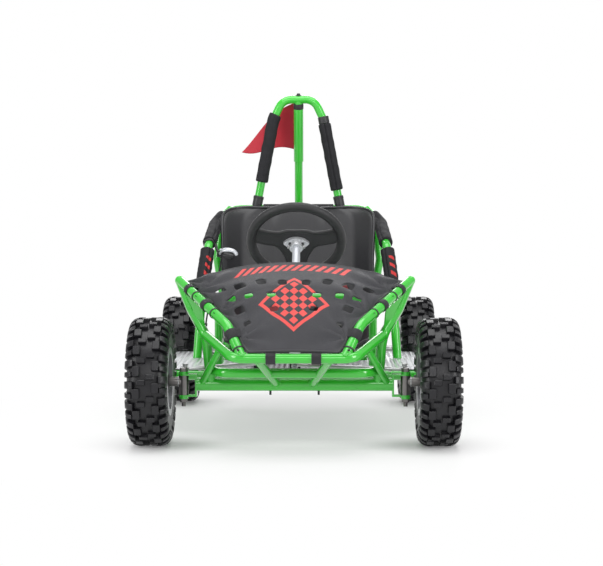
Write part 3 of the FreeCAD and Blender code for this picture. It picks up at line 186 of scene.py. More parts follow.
def floor_finish():
    """Pale grey inside an oval of distance one, fading outwards to clear white.

    Near the kart a painted glow lifts the floor's shade; it fades out round each contact patch, which paints
    the tyres' contact shadows. Both halves of the kart are alike, so one distance from (|x|, |y|) to a
    contact patch serves all four.
    """
    material, tree, shader = new_material("studio_floor")
    spot = split(tree, object_place(tree))
    oval = hypotenuse(tree, *[maths(tree, "DIVIDE", spot[axis], FLOOR_OVAL[axis]) for axis in (0, 1)])
    aside = [maths(tree, "ABSOLUTE", spot[axis]) for axis in (0, 1)]
    from_patch = hypotenuse(tree, *[maths(tree, "SUBTRACT", *pair) for pair in zip(aside, CONTACT_AT)])
    # Painted light: glow that lifts the shade under the kart, falling to nothing at each contact patch as a
    # painted contact shadow.
    painted_fill_here = smooth_step(tree, from_patch, *CONTACT_SHADOW_REACH, 0.0, FLOOR_PAINTED_FILL)
    white_share = smooth_step(tree, oval, *FLOOR_FADE, painted_fill_here)
    tone = between_values(tree, noise(tree, object_place(tree), 3.0), *FLOOR_TONE)
    tree.links.new(tone, shader.inputs["Base Color"])
    shader.inputs["Roughness"].default_value = 0.6
    glow = node(tree, "ShaderNodeEmission", {"Color": WHITE, "Strength": 1.0}).outputs[0]
    mixed = node(tree, "ShaderNodeMixShader", {0: white_share, 1: shader.outputs[0], 2: glow}).outputs[0]
    tree.links.new(mixed, tree.nodes["Material Output"].inputs["Surface"])
    return material


add_air()
floor_mesh = bpy.data.meshes.new("studio_floor")
floor_corners = [(x * FLOOR_HALF, y * FLOOR_HALF, 0.0) for x, y in ((-1, -1), (1, -1), (1, 1), (-1, 1))]
floor_mesh.from_pydata(floor_corners, [], [(0, 1, 2, 3)])
floor_mesh.materials.append(floor_finish())
floor_object = bpy.data.objects.new("studio_floor", floor_mesh)
bpy.context.collection.objects.link(floor_object)


# Frame: bent round tubes of mild steel, coped and welded, then sprayed and baked in bright green
# gloss with a clear coat. The tubes are the frame's own solids; the weld beads at their joints are added.
RAIL_RADIUS = 0.016
TUBE_RADIUS = 0.0125
SLIM_RADIUS = 0.011
STEP_RADIUS = 0.014
BEAM_RADIUS = 0.017
BEAD_RADIUS = 0.0026
BEAD_SIDES = 10
BEAD_STEP = 0.0028
BEAD_RIPPLE = 0.16
# Places are the distance from the middle, the distance behind the front axle, and the height.
FRAME_Z = 0.158
CROSS_Z = 0.160
REAR_Z = 0.219
SHOULDER_Z = 0.606
RAIL_X = 0.215
STEP_OUTER_X = 0.36
HOOP_Y = 0.893
REAR_Y = 1.108
HOOP_TOP_Z = 0.943
NOSE_TUBE_AT = (-0.200, 0.243)
CORNER_FOOT = (0.125, *NOSE_TUBE_AT)
CORNER_KNEE = (0.166, -0.138, 0.321)
CORNER_APEX = (0.302, 0.100, 0.420)
STRUT_TOP = (0.090, *NOSE_TUBE_AT)
STRUT_FOOT = (0.045, 0.0, FRAME_Z)
DASH_FOOT = (0.209, 0.240, FRAME_Z)
DASH_TOP = (0.209, 0.240, 0.30)
LEG_FOOT = (RAIL_X, HOOP_Y, REAR_Z)
LEG_KNEE = (0.252, HOOP_Y, 0.450)
RAIL_FOOT = (0.292, 0.560, FRAME_Z)
RAIL_KNEE = (0.276, 0.600, 0.400)
BRACE_FOOT = (0.0, REAR_Y, REAR_Z)
BRACE_TOP = (0.0, HOOP_Y, HOOP_TOP_Z)
CROSS_TUBES_Y = (0.120, 0.440, 0.640, 0.722)
STEP_TUBES_Y = (0.235, 0.560, 0.752)


def between_colours(tree, share, low, high):
    """Colour that runs from low to high as the share runs from 0 to 1."""
    low, high = [colour if isinstance(colour, bpy.types.NodeSocket) else (*colour, 1.0)
                 for colour in (low, high)]
    return node(tree, "ShaderNodeMix", {0: share, 6: low, 7: high}, data_type="RGBA").outputs[2]


def bumped(tree, height, depth, normal=None):
    """Bump of the given depth in metres, over another one if there is one."""
    inputs = {"Height": height, "Distance": depth, "Strength": 1.0}
    if normal is not None:
        inputs["Normal"] = normal
    return node(tree, "ShaderNodeBump", inputs).outputs["Normal"]


def finish(tree, shader, colour, rough, normal, **sockets):
    """Feeds the shader's colour, roughness and normal, and sets its other sockets to constants."""
    for socket, source in (("Base Color", colour), ("Roughness", rough), ("Normal", normal)):
        tree.links.new(source, shader.inputs[socket])
    for key, value in sockets.items():
        shader.inputs[key.replace("_", " ")].default_value = value


def finish_material(name, dark, light, rough, grain=(60.0, 0.0002), fine=(900.0, 0.00004), **sockets):
    """Two-tone finish with roughness that wanders; both grains are given as (scale, depth in metres)."""
    material, tree, shader = new_material(name)
    place = object_place(tree)
    coarse = noise(tree, place, grain[0])
    relief = bumped(tree, noise(tree, place, fine[0], 2.0), fine[1], bumped(tree, coarse, grain[1]))
    finish(tree, shader, between_colours(tree, noise(tree, place, 9.0), dark, light),
           between_values(tree, coarse, *rough), relief, **sockets)
    return material


def dress(material, *names):
    """Puts the material on CAD nodes."""
    for name in names:
        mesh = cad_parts[name].data
        mesh.materials.clear()
        mesh.materials.append(material)


def behind(x, y, z):
    """Point given in metres by X, the distance behind the front axle, and the height."""
    return np.array([x, AXLE_Y + y, z])


def on_side(side, *places):
    """Points on the left (-1) or right (1) half, from places given for the right half."""
    return [behind(side * x, y, z) for x, y, z in places]


def unit(vector):
    """Vector, or rows of vectors, at length one."""
    return vector / np.linalg.norm(vector, axis=-1, keepdims=True)


def round_steps(count):
    """Equal steps of angle round a full turn."""
    return np.linspace(0, 2 * np.pi, count, endpoint=False)


def grid_faces(rows, columns, close_rows=False, close_columns=False):
    """Quads of a grid of points listed row by row; the last row or column may join the first."""
    row = np.arange(rows if close_rows else rows - 1)[:, None]
    column = np.arange(columns if close_columns else columns - 1)[None, :]
    next_row, next_column = (row + 1) % rows, (column + 1) % columns
    corners = [row * columns + column, row * columns + next_column,
               next_row * columns + next_column, next_row * columns + column]
    return np.stack(corners, axis=-1).reshape(-1, 4).tolist()


def tube_faces(rows, sides):
    """Faces of a tube of rings, with a flat cap at each end."""
    caps = [list(range(sides))[::-1], list(range((rows - 1) * sides, rows * sides))]
    return grid_faces(rows, sides, close_columns=True) + caps


def piece(name, parts, material, body, sharp=40.0, modifiers=(), closed=True, uv=None):
    """Mesh object from (points, faces) parts: doubles merged, normals outwards, smooth up to an angle."""
    mesh = bpy.data.meshes.new(name)
    points, faces, start = [], [], 0
    for part_points, part_faces in parts:
        part_points = np.asarray(part_points, float).reshape(-1, 3)
        points.append(part_points)
        faces += [[corner + start for corner in face] for face in part_faces]
        start += len(part_points)
    mesh.from_pydata(np.concatenate(points).tolist(), [], faces)
    if uv is not None:
        layer = mesh.uv_layers.new(name="surface")
        corner_points = np.empty(len(mesh.loops), dtype=np.int32)
        mesh.loops.foreach_get("vertex_index", corner_points)
        layer.data.foreach_set("uv", np.asarray(uv, np.float32).reshape(-1, 2)[corner_points].ravel())
    work = bmesh.new()
    work.from_mesh(mesh)
    bmesh.ops.remove_doubles(work, verts=work.verts, dist=1e-6)
    bmesh.ops.dissolve_degenerate(work, edges=work.edges, dist=1e-7)
    if closed:
        bmesh.ops.recalc_face_normals(work, faces=work.faces)
    work.to_mesh(mesh)
    work.free()
    mesh.shade_smooth()
    mesh.set_sharp_from_angle(angle=math.radians(sharp))
    mesh.materials.append(material)
    made = bpy.data.objects.new(name, mesh)
    bpy.context.collection.objects.link(made)
    for kind, settings in modifiers:
        modifier = made.modifiers.new(kind.lower(), kind)
        for key, value in settings.items():
            setattr(modifier, key, value)
    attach(made, body)
    return made


def swept(path, radius, sides=16, closed=False, flat=1.0, first_side=(0.31, 0.17, 0.93)):
    """Tube along the path: each station is a ring of the radius, squeezed by flat across its second axis.

    The ring's first axis is the hint less its part along the tangent, carried from station to station.
    """
    path = np.asarray(path, float)
    ahead = np.roll(path, -1, axis=0) - np.roll(path, 1, axis=0)
    if not closed:
        ahead[0], ahead[-1] = path[1] - path[0], path[-1] - path[-2]
    tangent = unit(ahead)
    side = np.empty_like(path)
    carried = np.asarray(first_side, float)
    for station, along in enumerate(tangent):
        carried = unit(carried - along * carried.dot(along))
        side[station] = carried
    other = np.cross(tangent, side)
    angle = round_steps(sides)[None, :, None]
    radius = np.broadcast_to(np.asarray(radius, float), (len(path),))[:, None, None]
    points = path[:, None] + radius * (side[:, None] * np.cos(angle) + flat * other[:, None] * np.sin(angle))
    return points, grid_faces(len(path), sides, True, True) if closed else tube_faces(len(path), sides)


def tube_meets_tube(foot, towards, radius, other_point, other_axis, other_radius, ring=120):
    """Closed curve where a tube that starts at foot meets another tube's skin.

    A point at angle t round the first tube slides along it by s; s solves the quadratic that puts the
    point at the second tube's radius from its axis, on the side that the first tube comes from.
    """
    along, axis = unit(towards - foot), unit(other_axis)
    side = unit(np.cross(along, axis))
    across = np.cross(side, along)
    angle = round_steps(ring)[:, None]
    rim = foot + radius * (np.cos(angle) * side + np.sin(angle) * across)
    offset = rim - other_point
    offset = offset - (offset @ axis)[:, None] * axis
    slide = along - along.dot(axis) * axis
    a, b = slide.dot(slide), 2 * offset @ slide
    c = (offset ** 2).sum(axis=1) - other_radius ** 2
    root = np.sqrt(np.maximum(b * b - 4 * a * c, 0.0))
    return rim + ((-b + root) / (2 * a))[:, None] * along


def bead(curve):
    """Weld bead along a closed curve, its radius rippled as the puddle was stepped along."""
    length = np.linalg.norm(np.roll(curve, -1, axis=0) - curve, axis=1).sum()
    ripples = max(8, round(length / BEAD_STEP))
    phase = ripples * round_steps(len(curve))
    return swept(curve, BEAD_RADIUS * (1 + BEAD_RIPPLE * np.cos(phase)), BEAD_SIDES, closed=True)


green_paint = finish_material("green_gloss_paint", dark=(0.020, 0.420, 0.020), light=(0.045, 0.560, 0.035),
                              rough=(0.20, 0.30), grain=(45.0, 0.0001), fine=(520.0, 0.00002),
                              Coat_Weight=0.9, Coat_Roughness=0.08)
dress(green_paint, "floor_frame", "nose_tube", "corner_tubes", "nose_struts", "dash_hoop", "step_frames",
      "shoulder_hoop", "side_rails", "roll_hoop", "rear_brace")

X_AXIS, Y_AXIS, UP = np.eye(3)
nose_tube = ((0.0, *NOSE_TUBE_AT), X_AXIS, TUBE_RADIUS)
front_beam = ((0.0, 0.0, FRAME_Z), X_AXIS, BEAM_RADIUS)
side_rail = ((RAIL_X, 0.0, FRAME_Z), Y_AXIS, RAIL_RADIUS)
# Columns: where a tube starts, a place that it runs towards, its radius, the tube that it meets.
WELDS = [
    (CORNER_FOOT, CORNER_KNEE, TUBE_RADIUS, nose_tube),
    (STRUT_TOP, STRUT_FOOT, SLIM_RADIUS, nose_tube),
    (STRUT_FOOT, STRUT_TOP, SLIM_RADIUS, front_beam),
    (DASH_FOOT, DASH_TOP, SLIM_RADIUS, side_rail),
    (LEG_FOOT, LEG_KNEE, TUBE_RADIUS, (LEG_FOOT, Y_AXIS, RAIL_RADIUS)),
    (RAIL_FOOT, RAIL_KNEE, TUBE_RADIUS, (RAIL_FOOT, X_AXIS, STEP_RADIUS)),
]
WELDS += [((RAIL_X, y, CROSS_Z), (0.0, y, CROSS_Z), TUBE_RADIUS, side_rail) for y in CROSS_TUBES_Y]
WELDS += [((RAIL_X, y, FRAME_Z), (STEP_OUTER_X, y, FRAME_Z), STEP_RADIUS, side_rail) for y in STEP_TUBES_Y]
beads = []
for side in (-1, 1):
    for foot, towards, radius, (met_at, met_axis, met_radius) in WELDS:
        foot, towards, met_at = on_side(side, foot, towards, met_at)
        beads.append(bead(tube_meets_tube(foot, towards, radius, met_at, met_axis, met_radius)))
brace_foot, brace_top = behind(*BRACE_FOOT), behind(*BRACE_TOP)
beads.append(bead(tube_meets_tube(brace_foot, brace_top, TUBE_RADIUS, brace_foot, X_AXIS, RAIL_RADIUS)))
piece("weld_beads", beads, green_paint, "chassis", sharp=80.0)


# Side plates and floor plate: aluminium chequer plate, sheared to size and screwed to the tubes.
# The raised lozenges are rolled into the sheet, in rows that lean left and right by turns.
LOZENGE_LENGTH = 0.017
LOZENGE_WIDTH = 0.0042
LOZENGE_HEIGHT = 0.0010
LOZENGE_PITCH = 0.0145
LOZENGE_SPOKES = 10
LOZENGE_SHOULDER = (0.72, 0.85)
LOZENGE_SUNK = 0.0004
PLATE_MARGIN = 0.007
STEP_INNER_X = 0.233
# Round places without lozenges: distance from the middle, distance behind the front axle, radius.
RAIL_FOOT_GAP = (0.2915, 0.5605, 0.026)
STEP_CORNER_GAP = 0.024
FLOOR_GAPS = ((-0.209, 0.240, 0.024), (0.209, 0.240, 0.024), (-0.095, 0.166, 0.030), (0.095, 0.166, 0.030),
              (0.0, 0.12, 0.026))

plate_aluminium = finish_material("chequer_aluminium", dark=(0.62, 0.63, 0.65), light=(0.72, 0.73, 0.75),
                                  rough=(0.22, 0.38), grain=(120.0, 0.00005), fine=(1500.0, 0.00001),
                                  Metallic=1.0)
dress(plate_aluminium, "step_plates", "floor_plate")


def lozenges(low, high, gaps):
    """Raised lozenges on a plate's top, at every crossing of a square grid and leaning by turns.

    Each is an ellipse with a foot ring sunk in the sheet, a shoulder ring given as shares of the reach and
    of the height, and a crown point.
    """
    columns, rows = [np.arange(low[axis] + PLATE_MARGIN, high[axis] - PLATE_MARGIN, LOZENGE_PITCH)
                     for axis in (0, 1)]
    x, y = [axis.ravel() for axis in np.meshgrid(columns, rows, indexing="ij")]
    turns = np.arange(len(columns))[:, None] + np.arange(len(rows))[None, :]
    lean = np.where(turns % 2, 1.0, -1.0).ravel()
    keep = np.ones(len(x), bool)
    for gap_x, gap_y, gap_radius in gaps:
        keep &= np.hypot(x - gap_x, y - AXLE_Y - gap_y) > gap_radius
    x, y, lean = [column[keep][:, None] for column in (x, y, lean)]
    spokes = round_steps(LOZENGE_SPOKES)
    reach = np.array([1.0, LOZENGE_SHOULDER[0]])[:, None]
    along = np.append((reach * np.cos(spokes)).ravel() * LOZENGE_LENGTH / 2, 0.0)
    across = np.append((reach * np.sin(spokes)).ravel() * LOZENGE_WIDTH / 2, 0.0)
    height = np.repeat([-LOZENGE_SUNK, LOZENGE_HEIGHT * LOZENGE_SHOULDER[1]], LOZENGE_SPOKES)
    height = np.append(height, LOZENGE_HEIGHT)
    slope = math.sqrt(0.5)
    x, y = x + slope * (along - lean * across), y + slope * (lean * along + across)
    points = np.stack(np.broadcast_arrays(x, y, high[2] + height), axis=-1)
    crown = 2 * LOZENGE_SPOKES
    single = [list(range(LOZENGE_SPOKES))[::-1]] + grid_faces(2, LOZENGE_SPOKES, close_columns=True)
    single += [[LOZENGE_SPOKES + spoke, LOZENGE_SPOKES + (spoke + 1) % LOZENGE_SPOKES, crown]
               for spoke in range(LOZENGE_SPOKES)]
    faces = [[corner + (crown + 1) * number for corner in face]
             for number in range(len(x)) for face in single]
    return points, faces


plates_low, plates_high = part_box("step_plates")
step_parts = []
for side in (-1, 1):
    left, right = sorted((side * STEP_INNER_X, side * plates_high[0]))
    gaps = [(side * RAIL_FOOT_GAP[0], *RAIL_FOOT_GAP[1:])]
    gaps += [(side * plates_high[0], y - AXLE_Y, STEP_CORNER_GAP) for y in (plates_low[1], plates_high[1])]
    step_parts.append(lozenges((left, *plates_low[1:]), (right, *plates_high[1:]), gaps))
piece("step_plate_tread", step_parts, plate_aluminium, "chassis", sharp=60.0)
piece("floor_plate_tread", [lozenges(*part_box("floor_plate"), FLOOR_GAPS)], plate_aluminium, "chassis",
      sharp=60.0)


# Knuckles, tie rods and axle: turned and welded steel, zinc plated. The kingpins are bolts through
# the frame's brackets; a nut holds each wheel on its stub axle, and another each rod's outer eye.
SIDES = (("left", -1), ("right", 1))
AXLE_Z = 0.165
KINGPIN_TOP = (0.285, 0.0, 0.191)
KINGPIN_FOOT = (0.285, 0.0, 0.121)
KINGPIN_END = (0.285, 0.0, 0.1125)
KINGPIN_HEAD = 0.017
KINGPIN_RADIUS = 0.0055
KINGPIN_THREAD = 0.011
STUB_END = (0.4125, 0.0, AXLE_Z)
STUB_NUT = 0.022
STUB_WELD = (0.2982, 0.0, AXLE_Z)
STUB_WELD_RING = 0.0118
STUB_WELD_RADIUS = 0.0022
ROD_EYE_TOP = (0.285, 0.055, 0.1985)
ROD_NUT = 0.011

bright_steel = finish_material("plated_steel", dark=(0.46, 0.46, 0.47), light=(0.62, 0.62, 0.63),
                               rough=(0.30, 0.44), grain=(90.0, 0.00008), fine=(1400.0, 0.00001),
                               Metallic=1.0)
dark_steel = finish_material("raw_dark_steel", dark=(0.16, 0.15, 0.15), light=(0.26, 0.25, 0.24),
                             rough=(0.30, 0.45), grain=(90.0, 0.0001), fine=(1400.0, 0.00001), Metallic=1.0)
black_coat = finish_material("black_powder_coat", dark=(0.018, 0.018, 0.020), light=(0.028, 0.028, 0.030),
                             rough=(0.36, 0.48), grain=(140.0, 0.00008), fine=(900.0, 0.00004))
dress(bright_steel, "rear_axle", "tie_rod_left", "tie_rod_right")
dress(dark_steel, "knuckle_left", "knuckle_right")
dress(black_coat, "column_supports", "axle_carriers")


def lathe(profile, start, direction, steps=32):
    """Turned solid: the profile of (distance along, radius) is carried round the axis in equal steps."""
    profile = np.asarray(profile, float)
    axis = unit(np.asarray(direction, float))
    side = unit(np.cross(UP if abs(axis[2]) < 0.9 else Y_AXIS, axis))
    angle = round_steps(steps)[:, None]
    ring = np.cos(angle) * side + np.sin(angle) * np.cross(axis, side)
    points = np.asarray(start, float) + profile[:, None, :1] * axis + profile[:, None, 1:] * ring
    return points, grid_faces(len(profile), steps, close_columns=True)


def hex_bolt(place, direction, across, washer=True):
    """Bolt head from outside: a six-sided prism with turned-down corners and a dished top, on a washer."""
    radius, height, rim = across / math.sqrt(3), across * 0.55, across * 0.98
    base = across * 0.14 if washer else 0.0
    head = [(0.0, 0.0), (0.0, radius), (height * 0.86, radius), (height, radius * 0.86),
            (height, radius * 0.6), (height * 0.9, radius * 0.45), (height * 0.9, 0.0)]
    disc = [(0.0, 0.0), (0.0, rim), (base * 0.8, rim), (base, rim * 0.96), (base, 0.0)]
    seat = np.asarray(place, float) + unit(np.asarray(direction, float)) * base
    return [lathe(disc, place, direction, 28)] * washer + [lathe(head, seat, direction, 6)]


def shank_end(place, direction, radius, length):
    """Threaded end of a bolt: its radius saws up and down with the pitch of the thread."""
    stations = 2 * max(3, int(length / (radius * 0.3))) + 1
    saw = radius * (1 - 0.07 * (np.arange(stations) % 2))
    profile = [(0.0, 0.0), *zip(np.linspace(0, length, stations), saw), (length, 0.0)]
    return lathe(profile, place, direction, 20)


def fasteners(name, parts, body="chassis", material=bright_steel):
    """Piece of small fasteners with crisp edges."""
    piece(name, parts, material, body, sharp=30.0)


kingpin_parts = []
for name, side in SIDES:
    top, foot, end, stub_end, weld, eye_top = on_side(side, KINGPIN_TOP, KINGPIN_FOOT, KINGPIN_END, STUB_END,
                                                      STUB_WELD, ROD_EYE_TOP)
    kingpin_parts += hex_bolt(top, UP, KINGPIN_HEAD, washer=False)
    kingpin_parts += hex_bolt(foot, -UP, KINGPIN_HEAD, washer=False)
    kingpin_parts.append(shank_end(end, -UP, KINGPIN_RADIUS, KINGPIN_THREAD))
    fasteners("rod_end_nut_" + name, hex_bolt(eye_top, UP, ROD_NUT), name + "_tie_rod")
    turn = round_steps(60)[:, None]
    weld_line = weld + STUB_WELD_RING * (np.cos(turn) * Y_AXIS + np.sin(turn) * UP)
    parts = hex_bolt(stub_end, side * X_AXIS, STUB_NUT, washer=False)
    parts.append(swept(weld_line, STUB_WELD_RADIUS, 8, closed=True))
    fasteners("knuckle_fasteners_" + name, parts, name + "_knuckle")
fasteners("kingpin_bolts", kingpin_parts, material=dark_steel)


# Wheels: knobbly pneumatic tyres on two-piece pressed steel rims, sprayed silver grey. Each rim is
# held on its hub by four plated bolts, and the front ones have a rubber seal on the knuckle's side.
TYRE_CROWN = 0.156
TYRE_HALF = 0.0495
TYRE_MIDDLE = 0.112
TYRE_STEPS = 96
SIDEWALL_RIBS = (0.120, 0.134)
RIB_HEIGHT = 0.0009
RIB_SPREAD = 0.0012
BEAD_SEAT = 0.0755
BEAD_HALF = 0.0455
# Columns: distance from the tyre's middle, radius; from the bead's inner edge up the sidewall.
SIDEWALL = [(BEAD_HALF - 0.010, BEAD_SEAT), (BEAD_HALF, BEAD_SEAT), (BEAD_HALF, 0.0890), (0.0468, 0.0925),
            (0.0482, 0.0985), (0.0491, 0.1050)]
LUG_COUNT = 18
LUG_CHAMFER = 0.0014
LUG_FLARE = 0.0010
FOOT_SHARE = 0.90
# Lugs of the tread, each as stations from near the tyre's middle out towards the sidewall. Columns:
# distance from the middle, radius at the lug's top, half width along the tread, radius at its foot.
CENTRE_BAR = (
    (0.0012, 0.1640, 0.0058, 0.150), (0.0020, 0.1650, 0.0065, 0.150), (0.0200, 0.1648, 0.0068, 0.150),
    (0.0215, 0.1638, 0.0060, 0.150),
)
LONG_BLOCK = (
    (0.0150, 0.1636, 0.0110, 0.149), (0.0160, 0.1647, 0.0122, 0.149), (0.0240, 0.1648, 0.0128, 0.148),
    (0.0320, 0.1640, 0.0120, 0.146), (0.0330, 0.1630, 0.0108, 0.146),
)
SHOULDER_BLOCK = (
    (0.0320, 0.1630, 0.0078, 0.145), (0.0330, 0.1642, 0.0086, 0.145), (0.0400, 0.1617, 0.0088, 0.141),
    (0.0480, 0.1550, 0.0088, 0.133), (0.0525, 0.1470, 0.0086, 0.127), (0.0538, 0.1390, 0.0080, 0.123),
    (0.0534, 0.1330, 0.0072, 0.121),
)
SIDE_LUG = (
    (0.0350, 0.1620, 0.0052, 0.143), (0.0360, 0.1632, 0.0060, 0.143), (0.0440, 0.1590, 0.0062, 0.137),
    (0.0510, 0.1502, 0.0062, 0.129), (0.0530, 0.1440, 0.0056, 0.125),
)
# Columns: lug, place round the tyre as a share of the pitch. The left half is shifted by a quarter.
TREAD = ((CENTRE_BAR, 0.0), (LONG_BLOCK, 0.5), (SHOULDER_BLOCK, 0.12), (SIDE_LUG, 0.62))
LEFT_SHIFT = 0.25
HUB_BOLT = 0.0125
HUB_BOLT_RING = 0.032
HUB_FACE = 0.0025
STEM_RING = 0.0585
STEM_PROFILE = ((0.0, 0.0), (0.0, 0.0062), (0.004, 0.0058), (0.010, 0.0040), (0.020, 0.0038),
                (0.0205, 0.0046), (0.028, 0.0044), (0.0285, 0.0))
SEAL_IN = 0.0410
SEAL_PROFILE = ((0.0, 0.0), (0.0, 0.0205), (0.002, 0.0212), (0.004, 0.0200), (0.006, 0.0140), (0.006, 0.0))

tyre_rubber, tree, shader = new_material("tyre_rubber")
place = object_place(tree)
dust = noise(tree, place, 38.0, 6.0)
pores = bumped(tree, noise(tree, place, 1300.0, 2.0), 0.00005)
finish(tree, shader, between_colours(tree, dust, (0.005, 0.0048, 0.0062), (0.010, 0.0096, 0.0125)),
       between_values(tree, noise(tree, place, 70.0), 0.28, 0.46),
       bumped(tree, noise(tree, place, 160.0), 0.0002, pores), Specular_IOR_Level=0.45)
rim_paint = finish_material("rim_silver_paint", dark=(0.30, 0.30, 0.32), light=(0.40, 0.40, 0.42),
                            rough=(0.28, 0.40), grain=(80.0, 0.00008), fine=(1100.0, 0.00002), Metallic=0.7,
                            Coat_Weight=0.3, Coat_Roughness=0.1)
rubber = finish_material("black_rubber", dark=(0.012, 0.012, 0.013), light=(0.022, 0.022, 0.024),
                         rough=(0.48, 0.62), grain=(120.0, 0.0001), fine=(1200.0, 0.00003))


def tread_lugs(stations, side, shift):
    """All copies of a lug round the tyre: a six-cornered section carried outwards from the tread's middle.

    The section has two feet, two shoulders a chamfer below the top, and two top corners. Its feet lie a
    little nearer to the middle than its top.
    """
    out, top, half, low = np.asarray(stations).T[:, :, None]
    across = np.concatenate([-half - LUG_FLARE, -half, LUG_CHAMFER - half, half - LUG_CHAMFER, half,
                             half + LUG_FLARE], axis=1)
    height = np.concatenate([low, top - LUG_CHAMFER, top, top, top - LUG_CHAMFER, low], axis=1)
    x = side * out * np.where(height == low, FOOT_SHARE, 1.0)
    angle = (round_steps(LUG_COUNT) + 2 * np.pi * shift / LUG_COUNT)[:, None, None]
    y, z = across * np.cos(angle) - height * np.sin(angle), across * np.sin(angle) + height * np.cos(angle)
    points = np.stack(np.broadcast_arrays(x, y, z), axis=-1)
    rows, corners = height.shape
    faces = [[corner + number * rows * corners for corner in face]
             for number in range(LUG_COUNT) for face in tube_faces(rows, corners)]
    return points, faces


def signed_power(value, power):
    """Power of the value's size, with its sign kept."""
    return np.sign(value) * np.abs(value) ** power


def tyre_carcass():
    """Turned skin: a superellipse from bead to bead over the crown, with two thin ribs on each sidewall."""
    angle = np.linspace(0, np.pi, 41)
    x = TYRE_HALF * signed_power(np.cos(angle), 0.62)
    r = TYRE_MIDDLE + (TYRE_CROWN - TYRE_MIDDLE) * np.sin(angle) ** 0.72
    for rib in SIDEWALL_RIBS:
        x = x + np.sign(x) * RIB_HEIGHT * np.exp(-((r - rib) / RIB_SPREAD) ** 2)
    left = [(-x_, r_) for x_, r_ in reversed(SIDEWALL)]
    return lathe([*SIDEWALL, *zip(x, r), *left], (0.0, 0.0, 0.0), X_AXIS, TYRE_STEPS)


tyre_parts = [tyre_carcass()]
for side in (-1, 1):
    for lug, shift in TREAD:
        tyre_parts.append(tread_lugs(lug, side, shift + (LEFT_SHIFT if side < 0 else 0.0)))

for end in ("front", "rear"):
    for name, side in SIDES:
        body = name + "_front_wheel" if end == "front" else "rear_axle_set"
        outward = side * X_AXIS
        hub = np.mean(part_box(end + "_tyre_" + name), axis=0)
        parts = [(points + hub, faces) for points, faces in tyre_parts]
        tyre = piece(end + "_knobbly_tyre_" + name, parts, tyre_rubber, body, sharp=28.0)
        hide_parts(end + "_tyre_" + name)
        dress(rim_paint, end + "_rim_" + name)
        bolts = []
        for turn in round_steps(4):
            spot = hub + HUB_BOLT_RING * (math.cos(turn) * Y_AXIS + math.sin(turn) * UP)
            for facing in (outward, -outward):
                bolts += hex_bolt(spot + HUB_FACE * facing, facing, HUB_BOLT)
        fasteners(end + "_hub_bolts_" + name, bolts, body)
        stem = lathe(STEM_PROFILE, hub + HUB_FACE * outward + STEM_RING * UP, outward, 20)
        piece(end + "_valve_" + name, [stem], rubber, body, sharp=30.0)
        if end == "front":
            seal = lathe(SEAL_PROFILE, hub - SEAL_IN * outward, -outward, 40)
            piece("front_seal_" + name, [seal], rubber, body, sharp=30.0)


# Drive: a closed direct-current motor with cast end caps, a roller chain to a toothed plate on the
# live axle, and a drilled brake disc. Cast and turned metal, bolted through the motor's caps.
CHAIN_PITCH = 0.0127
LINK_CORNERS = 20
LINK_END = 0.0042
LINK_HALF = 0.0044
LINK_WAIST = 0.22
LINK_THICK = 0.0009
LINK_OFFSETS = (0.0025, 0.0036)
PIN_PROFILE = ((-0.0050, 0.0), (-0.0050, 0.0016), (-0.0026, 0.0018), (-0.0024, 0.0039), (0.0024, 0.0039),
               (0.0026, 0.0018), (0.0050, 0.0016), (0.0050, 0.0))
SPROCKET_X = 0.140
SPROCKET_AT = (0.960, 0.165)
SPROCKET_PITCH_RADIUS = 0.062
PINION_AT = (0.835, 0.195)
PINION_PITCH_RADIUS = 0.020
MOTOR_FACE_X = 0.009
MOTOR_BOLT_RING = 0.040
MOTOR_BOSS = ((0.0, 0.0), (0.0, 0.020), (0.004, 0.019), (0.008, 0.0125), (0.008, 0.0))
CALLIPER_BOLTS_AT = ((-0.202, 1.026, AXLE_Z - 0.016), (-0.202, 1.026, AXLE_Z + 0.016))
BLEED_AT = (-0.190, 1.030, AXLE_Z + 0.026)
BLEED_PROFILE = ((0.0, 0.0), (0.0, 0.0035), (0.006, 0.0035), (0.007, 0.0022), (0.012, 0.0020), (0.012, 0.0))
CARRIER_BOLTS_AT = ((RAIL_X + 0.004, 0.94005, AXLE_Z + 0.0445), (RAIL_X + 0.004, 0.97995, AXLE_Z + 0.0445))

cast_alloy = finish_material("cast_alloy", dark=(0.34, 0.34, 0.35), light=(0.44, 0.44, 0.45),
                             rough=(0.38, 0.55), grain=(260.0, 0.0002), fine=(900.0, 0.00006), Metallic=0.9)
chain_steel = finish_material("oiled_chain_steel", dark=(0.20, 0.17, 0.13), light=(0.34, 0.32, 0.29),
                              rough=(0.22, 0.40), grain=(90.0, 0.00005), fine=(900.0, 0.00001), Metallic=1.0)
turned_steel = finish_material("turned_steel", dark=(0.50, 0.50, 0.51), light=(0.60, 0.60, 0.61),
                               rough=(0.18, 0.30), grain=(60.0, 0.00005), fine=(1300.0, 0.00001),
                               Metallic=1.0, Anisotropic=0.5)
dress(cast_alloy, "motor", "brake_calliper")
dress(turned_steel, "rear_sprocket", "brake_disc")


def run_lengths(line):
    """Distance of each point from the first one along the line."""
    return np.append(0.0, np.cumsum(np.linalg.norm(np.diff(line, axis=0), axis=1)))


def along_line(line, run, distance):
    """Points of the line at the given distances along it."""
    return np.stack([np.interp(distance, run, column) for column in line.T], axis=-1)


